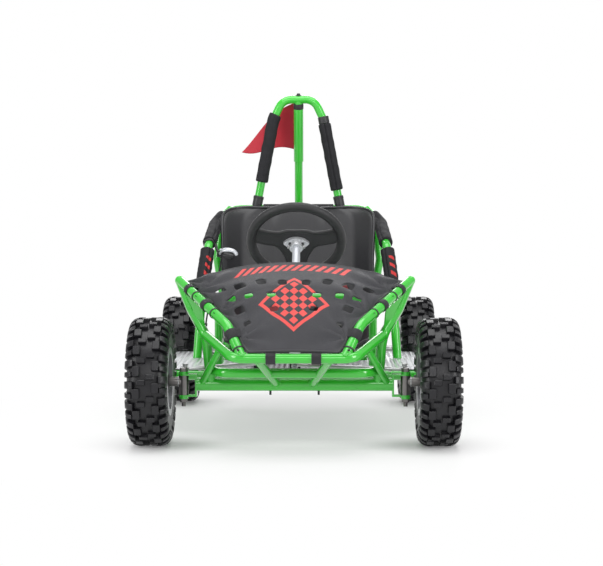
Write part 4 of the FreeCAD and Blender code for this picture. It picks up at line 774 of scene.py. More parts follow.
def chain_pins():
    """Pin places along the belt line: two arcs and two tangents, cut at equal steps of its length."""
    big, small = np.array(SPROCKET_AT), np.array(PINION_AT)
    gap = small - big
    heading = math.atan2(gap[1], gap[0])
    lean = math.acos((SPROCKET_PITCH_RADIUS - PINION_PITCH_RADIUS) / np.hypot(*gap))
    arcs = []
    for middle, radius, start, end, steps in ((big, SPROCKET_PITCH_RADIUS, lean, 2 * np.pi - lean, 200),
                                              (small, PINION_PITCH_RADIUS, -lean, lean, 100)):
        angle = heading + np.linspace(start, end, steps)
        arcs.append(middle + radius * np.stack([np.cos(angle), np.sin(angle)], axis=-1))
    loop = np.concatenate([*arcs, arcs[0][:1]])
    run = run_lengths(loop)
    count = 2 * round(run[-1] / CHAIN_PITCH / 2)
    return along_line(loop, run, np.linspace(0, run[-1], count, endpoint=False))


def chain_parts(pins):
    """Rollers, pins and waisted plates: each plate's edge is a stadium whose radius dips at mid link."""
    following = np.roll(pins, -1, axis=0)
    ahead = unit(following - pins)[:, None]
    up = np.stack([-ahead[..., 1], ahead[..., 0]], axis=-1)
    angle = round_steps(LINK_CORNERS)[:, None]
    along = CHAIN_PITCH / 2 * np.clip(1.6 * np.cos(angle), -1, 1) + LINK_END * np.cos(angle)
    edge = LINK_HALF * np.sin(angle) * (1 - LINK_WAIST * np.exp(-(along / 0.003) ** 2))
    outlines = ((pins + following) / 2)[:, None] + along * ahead + edge * up
    parts = []
    for number, link in enumerate(outlines):
        offset = LINK_OFFSETS[number % 2]
        for side in (-1, 1):
            x = SPROCKET_X + side * np.array([offset, offset + LINK_THICK])[:, None]
            rings = np.stack(np.broadcast_arrays(x, AXLE_Y + link[:, 0], link[:, 1]), axis=-1)
            parts.append((rings, tube_faces(2, LINK_CORNERS)))
    return parts + [lathe(PIN_PROFILE, behind(SPROCKET_X, y, z), X_AXIS, 12) for y, z in pins]


chain = piece("roller_chain", chain_parts(chain_pins()), chain_steel, "chassis", sharp=35.0)
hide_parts("drive_chain")

motor_parts = []
for turn in round_steps(4) + np.pi / 4:
    bolt_y, bolt_z = PINION_AT + MOTOR_BOLT_RING * np.array([math.cos(turn), math.sin(turn)])
    motor_parts += hex_bolt(behind(MOTOR_FACE_X, bolt_y, bolt_z), -X_AXIS, 0.008)
motor_parts.append(lathe(MOTOR_BOSS, behind(MOTOR_FACE_X, *PINION_AT), -X_AXIS, 40))
fasteners("motor_cap_bolts", motor_parts)

calliper_parts = [lathe(BLEED_PROFILE, behind(*BLEED_AT), UP, 14)]
for spot in CALLIPER_BOLTS_AT:
    calliper_parts += hex_bolt(behind(*spot), -X_AXIS, 0.010)
fasteners("calliper_bolts", calliper_parts)

carrier_parts = []
for side in (-1, 1):
    for spot in on_side(side, *CARRIER_BOLTS_AT):
        carrier_parts += hex_bolt(spot, side * X_AXIS, 0.009)
fasteners("carrier_bolts", carrier_parts)


# Battery box: a moulded black plastic case with a lid, standing on the tray over the rear axle. Four
# screws hold the lid, and upright ribs stiffen the case's rear wall.
CASE_RIBS_X = 0.115
CASE_RIBS = 6
CASE_REAR_Y = 1.040
CASE_RIB_ENDS = (0.020, 0.024)
CASE_RIB = 0.004
CASE_RIB_PROUD = 0.003
LID_SCREWS_X = (-0.130, 0.130)
LID_SCREWS_Y = (0.922, 1.030)
LID_SCREW = ((0.0, 0.0), (0.0, 0.0050), (0.0016, 0.0046), (0.0024, 0.0030), (0.0018, 0.0018), (0.0012, 0.0))

case_plastic = finish_material("moulded_case_plastic", dark=(0.016, 0.016, 0.017),
                               light=(0.026, 0.026, 0.028), rough=(0.38, 0.52), grain=(420.0, 0.00012),
                               fine=(1500.0, 0.00003))
dress(case_plastic, "battery_box", "flag_pole", "cable_clips")


def rounded_bar(start, end, half, proud, outward):
    """Half-round rib on a flat face, standing proud along the outward direction, with drawn-in ends."""
    start, end, outward = (np.asarray(value, float) for value in (start, end, outward))
    across = unit(np.cross(end - start, outward))
    angle = np.linspace(0, np.pi, 9)[:, None]
    share = np.array([0.0, 0.02, 0.98, 1.0])[:, None, None]
    size = np.array([0.25, 1.0, 1.0, 0.25])[:, None, None]
    ring = half * np.cos(angle) * across + proud * np.sin(angle) * outward
    return start + share * (end - start) + size * ring, tube_faces(4, 9)


box_low, box_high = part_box("battery_box")
rib_heights = (box_low[2] + CASE_RIB_ENDS[0], box_high[2] - CASE_RIB_ENDS[1])
rib_parts = []
for x in np.linspace(-CASE_RIBS_X, CASE_RIBS_X, CASE_RIBS):
    start, end = (behind(x, CASE_REAR_Y, z) for z in rib_heights)
    rib_parts.append(rounded_bar(start, end, CASE_RIB, CASE_RIB_PROUD, Y_AXIS))
piece("battery_case_ribs", rib_parts, case_plastic, "chassis", sharp=40.0)
fasteners("battery_lid_screws", [lathe(LID_SCREW, behind(x, y, box_high[2]), UP, 24)
                                 for x in LID_SCREWS_X for y in LID_SCREWS_Y])


# Steering: a plated column with a pressed aluminium adapter, and a moulded three-spoke wheel with a
# grained grip. Two screws from the nose side hold the wheel, and a bolt sits on each of the adapter's flanks.
COLUMN_ANGLE = math.radians(41.0)
COLUMN_FOOT = behind(0.0, 0.040, 0.229)
COLUMN_LENGTH = 0.440
COLUMN_UP = np.array([0.0, math.cos(COLUMN_ANGLE), math.sin(COLUMN_ANGLE)])
WHEEL_DOWN = np.array([0.0, math.sin(COLUMN_ANGLE), -math.cos(COLUMN_ANGLE)])
WHEEL_AT = COLUMN_FOOT + COLUMN_LENGTH * COLUMN_UP
GRIP_RING = 0.1255
GRIP_RADIUS = 0.0135
GRIP_DEPTH = 0.96
GRIP_WAVES = 28
GRIP_SWELL = 0.03
# Right half of the spokes' outline, from the top of the hub round to the foot of the lower spoke.
# Columns: distance to the right, distance down towards the driver.
SPOKE_OUTLINE = ((0.000, -0.0365), (0.028, -0.0365), (0.046, -0.0280), (0.078, -0.0320), (0.115, -0.0430),
                 (0.120, -0.0030), (0.085, 0.0080), (0.052, 0.0130), (0.036, 0.0400), (0.024, 0.0700),
                 (0.023, 0.1180), (0.000, 0.1210))
CORNER_CUTS = 3
WEB_FACES = (-0.0038, 0.0030)
SPOKE_RIM_AT = 0.0004
SPOKE_RIM_RADIUS = 0.0056
HUB_CAP = ((0.0020, 0.0), (0.0020, 0.031), (0.0050, 0.031), (0.0085, 0.029), (0.0100, 0.024), (0.0105, 0.0))
# Places on the wheel's plane: distance to the right, down towards the driver, out along the column.
SCREW_AT = (0.017, -0.007, -0.0185)
FLANK_BOLT_AT = (0.0185, 0.0, -0.024)
ROD_BOLT_TOP = COLUMN_FOOT + 0.030 * WHEEL_DOWN + 0.0240 * COLUMN_UP
ROD_BOLT_LENGTH = 0.0420

machined_aluminium = finish_material("machined_aluminium", dark=(0.60, 0.61, 0.63), light=(0.70, 0.71, 0.74),
                                     rough=(0.34, 0.46), grain=(110.0, 0.00006), fine=(1400.0, 0.00001),
                                     Metallic=0.6)
matt_zinc = finish_material("matt_zinc", dark=(0.56, 0.58, 0.62), light=(0.64, 0.66, 0.70),
                            rough=(0.36, 0.48), grain=(90.0, 0.00008), fine=(1400.0, 0.00001), Metallic=0.45)
grip_material = finish_material("grained_grip", dark=(0.012, 0.012, 0.013), light=(0.020, 0.020, 0.022),
                                rough=(0.42, 0.56), grain=(700.0, 0.00025), fine=(1700.0, 0.00005))
dress(machined_aluminium, "wheel_adapter")
dress(matt_zinc, "steering_column")


def on_wheel(right, down, out=0.0):
    """Points given by the wheel's own plane: right, down towards the driver, and out along the column."""
    right, down, out = np.broadcast_arrays(np.asarray(right, float), down, out)
    return WHEEL_AT + right[..., None] * X_AXIS + down[..., None] * WHEEL_DOWN + out[..., None] * COLUMN_UP


def grip():
    """Torus whose tube swells a little at 28 finger waves on its nose side."""
    around, inside = round_steps(144)[:, None], round_steps(28)[None, :]
    radius = GRIP_RADIUS * (1 + GRIP_SWELL * np.cos(GRIP_WAVES * around) * np.clip(-np.sin(inside), 0, 1))
    reach = GRIP_RING + radius * np.cos(inside)
    points = on_wheel(reach * np.cos(around), reach * np.sin(around), GRIP_DEPTH * radius * np.sin(inside))
    return points, grid_faces(144, 28, close_rows=True, close_columns=True)


def spoke_outline():
    """Closed outline of the three spokes and the hub; each round of cuts takes a quarter off every run."""
    half = np.array(SPOKE_OUTLINE)
    loop = np.concatenate([half, (half * (-1, 1))[-2:0:-1]])
    for _ in range(CORNER_CUTS):
        following = np.roll(loop, -1, axis=0)
        loop = np.stack([0.75 * loop + 0.25 * following, 0.25 * loop + 0.75 * following], axis=1)
        loop = loop.reshape(-1, 2)
    return loop


def spoke_plate(outline):
    """Flat web inside the outline, with straight walls."""
    count = len(outline)
    edges = [(corner, (corner + 1) % count) for corner in range(count)]
    border = [sorted(edge) for edge in edges]
    made = delaunay_2d_cdt([Vector(spot) for spot in outline], edges, [list(range(count))], 1, 1e-7)
    flat = np.array([tuple(spot) for spot in made[0]])
    total = len(flat)
    sheets = [on_wheel(flat[:, 0], flat[:, 1], out) for out in WEB_FACES]
    faces = [list(face) for face in made[2]] + [[corner + total for corner in face][::-1] for face in made[2]]
    faces += [[a, b, b + total, a + total] for a, b in made[1] if sorted((a, b)) in border]
    return np.concatenate(sheets), faces


outline = spoke_outline()
spoke_rim = swept(on_wheel(outline[:, 0], outline[:, 1], SPOKE_RIM_AT), SPOKE_RIM_RADIUS, 14, closed=True,
                  first_side=COLUMN_UP)
wheel_parts = [grip(), spoke_plate(outline), spoke_rim, lathe(HUB_CAP, WHEEL_AT, COLUMN_UP, 48)]
steering_wheel = piece("moulded_steering_wheel", wheel_parts, grip_material, "steering",
                       sharp=45.0)
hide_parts("steering_wheel")
flank_bolts, adapter_screws = [], []
for side in (-1, 1):
    right, down, out = SCREW_AT
    adapter_screws += hex_bolt(on_wheel(side * right, down, out), -COLUMN_UP, 0.0085, washer=False)
    right, down, out = FLANK_BOLT_AT
    flank_bolts += hex_bolt(on_wheel(side * right, down, out), side * X_AXIS, 0.009)
fasteners("adapter_bolts", flank_bolts, "steering")
fasteners("adapter_screws", adapter_screws, "steering", black_coat)
fasteners("rod_bolt_nuts", hex_bolt(ROD_BOLT_TOP, COLUMN_UP, 0.013, washer=False)
          + hex_bolt(ROD_BOLT_TOP - ROD_BOLT_LENGTH * COLUMN_UP, -COLUMN_UP, 0.013, washer=False), "steering")


# Pedals and hand lever: bent steel with black powder coat. The pedals have ribbed rubber treads,
# and the hand lever is a plated claw in a black body, clamped on the left side rail.
PEDAL_X = 0.095
PEDAL_PAD_AT = (0.120, 0.2728)
PEDAL_TILT = math.radians(30.0)
PEDAL_UP = np.array([0.0, -math.sin(PEDAL_TILT), math.cos(PEDAL_TILT)])
PEDAL_BACK = np.array([0.0, math.cos(PEDAL_TILT), math.sin(PEDAL_TILT)])
PAD_FACE = 0.003
PAD_RIBS = np.linspace(-0.028, 0.028, 7)
PAD_RIB_HALF = 0.024
PAD_RIB = 0.0030
RAIL_TOP = (0.252, 0.830, 0.560)
RAIL_ELBOW = (0.264, 0.650, 0.495)
CLAMP_SHARE = 0.885
CLAMP = ((-0.0048, 0.0130), (-0.0048, 0.0165), (-0.0040, 0.0170), (0.0040, 0.0170), (0.0048, 0.0165),
         (0.0048, 0.0130), (-0.0048, 0.0130))
# Places about the clamp: distance to the right, backwards and up.
ARM = ((0.0185, 0.0, 0.0), (0.022, -0.006, -0.012), (0.030, -0.016, -0.030))
ARM_RADIUS = 0.0040
BODY_START = np.array((0.026, -0.014, -0.028))
BODY_END = np.array((0.074, -0.022, -0.040))
BODY_PROFILE = ((0.0, 0.0), (0.0, 0.0078), (0.002, 0.0096), (0.014, 0.0100), (0.016, 0.0088), (0.018, 0.0100),
                (0.046, 0.0098), (0.049, 0.0080), (0.0495, 0.0))
# Columns: place along the claw, its half width there.
CLAW = (
    ((0.034, -0.020, -0.030), 0.0060), ((0.036, -0.030, -0.022), 0.0070), ((0.043, -0.040, -0.016), 0.0076),
    ((0.056, -0.0455, -0.0155), 0.0076), ((0.070, -0.046, -0.017), 0.0072),
    ((0.078, -0.0455, -0.021), 0.0068), ((0.083, -0.0445, -0.028), 0.0068),
    ((0.085, -0.044, -0.0335), 0.0070),
)
CLAW_FLAT = 0.55
CLAW_PIVOT = (0.036, -0.0165, -0.0195)

dress(black_coat, "pedals")
rib_parts = []
for side in (-1, 1):
    pad = behind(side * PEDAL_X, *PEDAL_PAD_AT) + PAD_FACE * PEDAL_BACK
    for step in PAD_RIBS:
        start, end = (pad + step * PEDAL_UP + reach * X_AXIS for reach in (-PAD_RIB_HALF, PAD_RIB_HALF))
        rib_parts.append(rounded_bar(start, end, PAD_RIB, PAD_RIB, PEDAL_BACK))
piece("pedal_treads", rib_parts, rubber, "chassis", sharp=40.0)

rail_start, rail_end = on_side(-1, RAIL_TOP, RAIL_ELBOW)
lever_at = rail_start + CLAMP_SHARE * (rail_end - rail_start)
body_parts = [lathe(CLAMP, lever_at, rail_end - rail_start, 40), swept(lever_at + ARM, ARM_RADIUS, 14),
              lathe(BODY_PROFILE, lever_at + BODY_START, BODY_END - BODY_START, 32)]
hand_brake = piece("hand_brake_body", body_parts, black_coat, "chassis", sharp=35.0)
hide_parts("hand_brake")
claw_line, claw_width = zip(*CLAW)
claw_parts = [swept(lever_at + claw_line, claw_width, 18, flat=CLAW_FLAT)]
claw_parts += hex_bolt(lever_at + CLAW_PIVOT, UP, 0.009)
piece("hand_brake_lever", claw_parts, matt_zinc, "chassis", sharp=35.0,
      modifiers=(("SUBSURF", {"levels": 1, "render_levels": 1}),))


# Brake cable: a steel wire in a black sheath, from the hand lever's body down the left side rail and
# back to the calliper. Three moulded clips hold it to the tubes; its own stiffness bends the rest.
CABLE_RADIUS = 0.0025
# Columns: distance to the left, distance ahead of the hoop, height.
CABLE_ROUTE = (
    (0.2255, 0.2385, 0.4606), (0.2280, 0.2410, 0.4360), (0.2380, 0.2550, 0.3940), (0.2540, 0.2810, 0.3450),
    (0.2650, 0.3020, 0.2920), (0.2695, 0.3150, 0.2450), (0.2670, 0.3160, 0.2080), (0.2520, 0.3000, 0.1845),
    (0.2320, 0.2680, 0.1805), (0.2100, 0.2210, 0.1800), (0.1970, 0.1630, 0.1800), (0.1945, 0.0930, 0.1815),
    (0.1950, 0.0230, 0.1845), (0.1945, -0.0270, 0.1870), (0.1947, -0.0670, 0.1862), (0.1947, -0.0920, 0.1842),
    (0.1947, -0.1127, 0.1842),
)


def cable_curve():
    """Smooth spline of order three with the route's points as its control points, thick as the sheath."""
    points = [behind(-left, HOOP_Y - ahead, z) for left, ahead, z in CABLE_ROUTE]
    curve = bpy.data.curves.new("brake_cable_sheath", "CURVE")
    curve.dimensions = "3D"
    spline = curve.splines.new("NURBS")
    spline.points.add(len(points) - 1)
    for control, point in zip(spline.points, points):
        control.co = (*point, 1.0)
    spline.order_u = 3
    spline.use_endpoint_u = True
    curve.resolution_u = 12
    curve.bevel_depth = CABLE_RADIUS
    curve.bevel_resolution = 4
    curve.use_fill_caps = True
    curve.materials.append(rubber)
    made = bpy.data.objects.new("brake_cable_sheath", curve)
    bpy.context.collection.objects.link(made)
    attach(made, "chassis")
    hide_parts("brake_cable")


cable_curve()


# Seat: one bucket of black moulded plastic with deep wings and a rolled rim, screwed down through
# its pan. Its skin is a tub-shaped section that leans back from the front lip to the shoulders.
SEAT_BASE_Z = 0.1728
SEAT_WALL = 0.008
SEAT_CORNER = 0.040
SEAT_ROWS = 72
SEAT_COLUMNS = 73
PAN_SHARE = 0.46
WING_SHARE = 1 - PAN_SHARE
TOP_SHARE = 0.84
TOP_NARROWING = 0.30
CORNER_FILL = 0.010
RIM_ROLL = 0.006
SEAT_RIB_HEIGHT = 0.0035
SEAT_RIB_AT = 0.30
SEAT_RIB_SPREAD = 0.05
SEAT_RIM_RADIUS = 0.0046
SEAT_SCREWS_X = (-0.100, 0.100)
SEAT_SCREWS_Y = (0.560, 0.640)
SEAT_SCREW = ((0.0, 0.0), (0.0, 0.011), (0.0012, 0.011), (0.0040, 0.0070), (0.0050, 0.0030), (0.0046, 0.0))
# Columns: distance behind the front axle, height over the base, lean in degrees, half width at the
# base, half width at the rim, depth of the wings.
SEAT_STATIONS = np.array((
    (0.428, 0.031, -14.0, 0.150, 0.196, 0.034),
    (0.470, 0.006, -10.0, 0.152, 0.204, 0.066),
    (0.560, 0.000, 0.0, 0.152, 0.207, 0.104),
    (0.640, 0.000, 12.0, 0.152, 0.209, 0.112),
    (0.704, 0.038, 42.0, 0.152, 0.212, 0.112),
    (0.746, 0.116, 62.0, 0.152, 0.215, 0.104),
    (0.806, 0.286, 70.0, 0.152, 0.219, 0.092),
    (0.848, 0.402, 70.0, 0.150, 0.226, 0.066),
    (0.862, 0.435, 70.0, 0.140, 0.214, 0.012),
))
seat_plastic = finish_material("moulded_seat_plastic", dark=(0.014, 0.014, 0.016),
                               light=(0.024, 0.024, 0.027), rough=(0.30, 0.44), grain=(520.0, 0.00016),
                               fine=(1700.0, 0.00003), Specular_IOR_Level=0.55)


def eased(table, steps, spread=2.2):
    """Rows between the table's rows: straight shares of it, then smoothed by a bell-shaped average."""
    place = np.linspace(0, len(table) - 1, steps)
    reach = np.arange(-30, 31) / 30 * spread / 2
    weight = np.exp(-(reach / (spread / 5)) ** 2)
    rows = np.arange(len(table))
    first_slope, last_slope = table[1] - table[0], table[-1] - table[-2]
    smooth = np.zeros((steps, table.shape[1]))
    for offset, share in zip(reach, weight / weight.sum()):
        spot = place + offset
        inside = along_line(table, rows, spot)
        inside += np.minimum(spot, 0)[:, None] * first_slope
        inside += np.maximum(spot - rows[-1], 0)[:, None] * last_slope
        smooth += share * inside
    return smooth


def seat_skin():
    """Section as one sweep from rim to rim: flat pan, round corner of a superellipse, flared wing.

    Across the section q runs -1 to 1. Height is depth times the wing share; the half width grows with it
    by the flare. Near the top the half width falls off as a quarter circle. A low rib runs up each side
    of the back, and the rim rolls outwards.
    """
    y, z, lean, base, rim, depth = eased(SEAT_STATIONS, SEAT_ROWS).T[:, :, None]
    run = np.linspace(0, 1, SEAT_ROWS)[:, None]
    q = np.linspace(-1, 1, SEAT_COLUMNS)[None, :]
    size = np.abs(q)
    pan = np.clip(size / PAN_SHARE, 0, 1)
    wing = np.clip((size - PAN_SHARE) / WING_SHARE, 0, 1)
    corner = np.clip((size - 0.36) / 0.20, 0, 1)
    bend = np.sin(np.clip(wing / 0.34, 0, 1) * np.pi / 2) ** 0.9
    half = (base - SEAT_CORNER) * pan + SEAT_CORNER * bend + (rim - base) * wing
    top = np.clip((run - TOP_SHARE) / (1 - TOP_SHARE), 0, 1)
    half = half * (np.sqrt(1 - top ** 2) * TOP_NARROWING + 1 - TOP_NARROWING)
    rib = SEAT_RIB_HEIGHT * np.exp(-((size - SEAT_RIB_AT) / SEAT_RIB_SPREAD) ** 2)
    rib = rib * np.clip((run - 0.45) * 6, 0, 1) * np.clip((0.93 - run) * 14, 0, 1)
    roll = RIM_ROLL * np.clip((size - 0.95) / 0.05, 0, 1) ** 2
    height = (depth * wing + CORNER_FILL * corner ** 2 * (1 - wing) ** 2) * (1 - 0.10 * top) + rib
    lean = np.radians(lean)
    return np.stack(np.broadcast_arrays(np.sign(q) * (half + roll), AXLE_Y + y - np.sin(lean) * height,
                                        SEAT_BASE_Z + z + np.cos(lean) * height), axis=-1)


skin = seat_skin()
wall = {"thickness": SEAT_WALL, "offset": -1.0, "use_even_offset": True}
rounding = {"width": 0.0026, "segments": 3, "limit_method": "ANGLE", "angle_limit": 0.9}
seat = piece("bucket_seat", [(skin, grid_faces(SEAT_ROWS, SEAT_COLUMNS))], seat_plastic, "chassis",
             sharp=50.0, closed=False, modifiers=(("SOLIDIFY", wall), ("BEVEL", rounding)))
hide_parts("seat")
rim_line = np.concatenate([skin[:-1, -1], skin[-1, :0:-1], skin[:0:-1, 0], skin[0, :-1]])
piece("seat_rim", [swept(rim_line, SEAT_RIM_RADIUS, 12, closed=True)], seat_plastic, "chassis",
      sharp=80.0)
fasteners("seat_screws", [lathe(SEAT_SCREW, behind(x, y, SEAT_BASE_Z + SEAT_WALL), UP, 28)
                          for x in SEAT_SCREWS_X for y in SEAT_SCREWS_Y])


# Lap belt: flat woven webbing in dark red that lies across the seat, drawn through a pressed buckle
# with a push button. Its ends stop short of the seat's walls.
BELT_LEFT = (-0.185, 0.742, 0.300)
BELT_MIDDLE = (0.0, 0.722, 0.318)
BELT_RIGHT = (0.185, 0.752, 0.372)
BELT_UP = np.array((0.0, 0.25, 1.0))
BELT_HALF = 0.019
BELT_THICK_HALF = 0.0014
BELT_CUT = 0.085
BELT_LENGTH = 0.38
BELT_STEPS = 60
BELT_CORNERS = 20
BUCKLE_AT = behind(0.020, 0.7185, 0.3195)
BUCKLE_HALF = (0.029, 0.023, 0.0075)
BUTTON_AT = BUCKLE_AT + np.array((0.008, -0.0074, 0.001))
BUTTON_HALF = (0.010, 0.014, 0.0022)
BUCKLE_RIGHT = unit(np.array((1.0, 0.03, 0.14)))


def surface_place(tree):
    """Place on the piece's own sheet, in metres."""
    return node(tree, "ShaderNodeUVMap", uv_map="surface").outputs["UV"]


def wave(tree, place, scale, direction, distortion=0.0):
    """Bands across the direction, as threads or ribs make them."""
    inputs = {"Vector": place, "Scale": scale, "Distortion": distortion}
    return node(tree, "ShaderNodeTexWave", inputs, bands_direction=direction).outputs["Fac"]


belt_web, tree, shader = new_material("red_belt_webbing")
slanting = wave(tree, surface_place(tree), 260.0, "DIAGONAL", 0.6)
threads = maths(tree, "MULTIPLY", slanting, wave(tree, surface_place(tree), 170.0, "X", 0.4))
finish(tree, shader, between_colours(tree, threads, (0.16, 0.010, 0.014), (0.30, 0.020, 0.026)),
       between_values(tree, slanting, 0.55, 0.75), bumped(tree, threads, 0.0004), Sheen_Weight=0.4)
button_red = finish_material("red_button_plastic", dark=(0.42, 0.02, 0.02), light=(0.50, 0.03, 0.03),
                             rough=(0.30, 0.42), grain=(300.0, 0.00005))


def belt_strip():
    """Ribbon on the parabola through three points, with a rounded flat section, cut short at both ends."""
    left, middle, right = behind(*BELT_LEFT), behind(*BELT_MIDDLE), behind(*BELT_RIGHT)
    share = np.linspace(BELT_CUT, 1 - BELT_CUT, BELT_STEPS)[:, None]
    line = left * (1 - share) * (1 - 2 * share) + middle * 4 * share * (1 - share)
    line = line + right * share * (2 * share - 1)
    along = unit(np.gradient(line, axis=0))
    up = unit(BELT_UP - along * (along @ BELT_UP)[:, None])
    out = np.cross(along, up)
    angle = round_steps(BELT_CORNERS)
    wide = BELT_HALF * signed_power(np.cos(angle), 0.3)
    deep = BELT_THICK_HALF * signed_power(np.sin(angle), 0.5)
    points = line[:, None] + wide[:, None] * up[:, None] + deep[:, None] * out[:, None]
    return points, np.stack(np.broadcast_arrays(share * BELT_LENGTH, wide), axis=-1)


def rounded_block(centre, half, right, up, power=5.0, rows=25, columns=40):
    """Superellipsoid block: each coordinate is the half size times a signed power of sine and cosine."""
    tilt = np.linspace(-np.pi / 2, np.pi / 2, rows)[:, None, None]
    turn = round_steps(columns)[:, None]
    cos_tilt, sin_tilt, cos_turn, sin_turn = (signed_power(value, 2 / power) for value in (
        np.cos(tilt), np.sin(tilt), np.cos(turn), np.sin(turn)))
    right, up = unit(np.asarray(right, float)), unit(np.asarray(up, float))
    points = (centre + half[0] * cos_tilt * cos_turn * right + half[1] * cos_tilt * sin_turn * up
              + half[2] * sin_tilt * np.cross(right, up))
    return points, grid_faces(rows, columns, close_columns=True)


belt_points, belt_uv = belt_strip()
belt = piece("lap_belt_web", [(belt_points, tube_faces(BELT_STEPS, BELT_CORNERS))], belt_web, "chassis",
             sharp=60.0, uv=belt_uv)
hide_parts("lap_belt")
buckle_up = BELT_UP - BUCKLE_RIGHT * BELT_UP.dot(BUCKLE_RIGHT)
for name, place, half, plastic in (("belt_buckle", BUCKLE_AT, BUCKLE_HALF, case_plastic),
                                   ("belt_button", BUTTON_AT, BUTTON_HALF, button_red)):
    piece(name, [rounded_block(place, half, BUCKLE_RIGHT, buckle_up)], plastic, "chassis",
          sharp=50.0)


# Hoop fittings: black clamp sleeves where the roll hoop's legs enter their sockets, a black cross
# plate, and the bolt with its rubber bushing that ties the brace to the top of the hoop.
HOOP_FOOT = (0.130, HOOP_Y, SHOULDER_Z)
HOOP_NECK = (0.078, HOOP_Y, 0.880)
SOCKET_BOLT_SHARE = 0.075
SOCKET_BOLT_OUT = 0.0150
PLATE_BOLTS_X = (-0.090, -0.045, 0.045, 0.090)
PLATE_BOLTS_AT = (HOOP_Y - 0.0158, SHOULDER_Z - 0.017)
TOP_BOLT_AT = (0.0, HOOP_Y, HOOP_TOP_Z + 0.0120)
SOCKET_SHARE = 0.132
# The collar's profile starts a little before the socket's end.
COLLAR = ((-0.005, 0.0126), (-0.005, 0.0161), (0.001, 0.0161), (0.003, 0.0154), (0.004, 0.0140),
          (0.004, 0.0126), (-0.005, 0.0126))
BUSHING = ((0.0, 0.0), (0.0, 0.0148), (0.003, 0.0156), (0.014, 0.0156), (0.017, 0.0148), (0.017, 0.0))
BUSHING_DOWN = 0.0130

dress(black_coat, "hoop_sockets", "hoop_plate")
hoop_legs = {side: on_side(side, HOOP_FOOT, HOOP_NECK) for side in (-1, 1)}
bolt_parts, collar_parts = [], []
for foot, neck in hoop_legs.values():
    leg = neck - foot
    bolt_at = foot + SOCKET_BOLT_SHARE * leg + SOCKET_BOLT_OUT * Y_AXIS
    bolt_parts += hex_bolt(bolt_at, Y_AXIS, 0.0080, washer=False)
    collar_parts.append(lathe(COLLAR, foot + SOCKET_SHARE * leg, leg, 40))
for x in PLATE_BOLTS_X:
    bolt_parts += hex_bolt(behind(x, *PLATE_BOLTS_AT), -Y_AXIS, 0.0085)
bolt_parts += hex_bolt(behind(*TOP_BOLT_AT), UP, 0.0095)
piece("hoop_bolts", bolt_parts, black_coat, "chassis", sharp=30.0)
brace_run = brace_foot - brace_top
collar_parts.append(lathe(BUSHING, brace_top + BUSHING_DOWN * unit(brace_run), brace_run, 40))
piece("hoop_collars", collar_parts, rubber, "chassis", sharp=35.0)


# Foam sleeves: split tubes of closed-cell foam, pushed over the hoop's legs and the side rails. They are
# a little uneven along their length, with rounded cut ends and a narrow groove where they are split.
TUBE_CLEAR = 0.0128
SLEEVE_LIP = 0.004
SLEEVE_BEND = 0.015
SLEEVE_STATIONS = 72
SLEEVE_SIDES = 64
SEAM_DEPTH = 0.0042
SEAM_SPREAD = 0.12
# Waves of the sleeve's skin. Columns: height as a share, bearing gained along the run, waves round it.
SWELLS = ((0.6, 9.0 * math.pi, 2), (0.5, 23.0, 3), (0.35, 47.0, -1))
STRIPE_STEP = 0.026
STRIPE_SLANT = 0.55
STRIPE_SHARE = 0.42
STRIPE_BAND = (0.030, 0.116)
STRIPE_MIDDLE = 0.088
STRIPE_HALF = 0.0085
FOAM_BLACKS = ((0.010, 0.010, 0.012), (0.018, 0.018, 0.021))
# Columns: side, height of the pad's lower end, height of its upper end, bearing of its seam in degrees.
HOOP_PADS = (("left", 0.689, 0.897, 205.0), ("right", 0.664, 0.869, 272.0))
HOOP_PAD_RADIUS = 0.0190
HOOP_PAD_UNEVEN = 0.0006
HOOP_CROWN = (0.0484, HOOP_Y, HOOP_TOP_Z)
CLAMP_BAND = ((0.0003, 0.0128), (0.0003, 0.0158), (0.0015, 0.0168), (0.0210, 0.0168), (0.0220, 0.0158),
              (0.0220, 0.0128), (0.0003, 0.0128))
RAIL_CORNERS = ((0.212, HOOP_Y, 0.604), RAIL_TOP, RAIL_ELBOW, RAIL_KNEE, RAIL_FOOT)
RAIL_PAD_RADIUS = 0.0205
RAIL_PAD_UNEVEN = 0.0005
RAIL_SEAMS = {-1: 240.0, 1: 300.0}


def between(tree, value, low, high):
    """One where the value lies between two limits, else nothing."""
    above, below = maths(tree, "GREATER_THAN", value, low), maths(tree, "LESS_THAN", value, high)
    return maths(tree, "MULTIPLY", above, below)


def bars(tree, place, step, share):
    """One over the first share of every step of the place, else nothing."""
    return maths(tree, "LESS_THAN", maths(tree, "FRACT", maths(tree, "DIVIDE", place, step)), share)


foam = finish_material("closed_cell_foam", dark=FOAM_BLACKS[0], light=FOAM_BLACKS[1], rough=(0.62, 0.80),
                       grain=(160.0, 0.00012), fine=(1300.0, 0.00005), Specular_IOR_Level=0.30)
stripe_foam, tree, shader = new_material("striped_foam")
place = object_place(tree)
spot = split(tree, surface_place(tree))
slant = maths(tree, "ADD", spot[0], maths(tree, "MULTIPLY", spot[1], STRIPE_SLANT))
from_middle = maths(tree, "ABSOLUTE", maths(tree, "SUBTRACT", spot[1], STRIPE_MIDDLE))
slanted = bars(tree, slant, STRIPE_STEP, STRIPE_SHARE)
printed = maths(tree, "MULTIPLY", slanted, between(tree, spot[0], *STRIPE_BAND))
printed = maths(tree, "MULTIPLY", printed, maths(tree, "LESS_THAN", from_middle, STRIPE_HALF))
mottled = between_colours(tree, noise(tree, place, 60.0), *FOAM_BLACKS)
cells = bumped(tree, noise(tree, place, 1300.0, 2.0), 0.00005)
finish(tree, shader, between_colours(tree, printed, mottled, (0.52, 0.035, 0.035)),
       between_values(tree, noise(tree, place, 90.0), 0.58, 0.78),
       bumped(tree, noise(tree, place, 160.0), 0.00012, cells), Specular_IOR_Level=0.30)
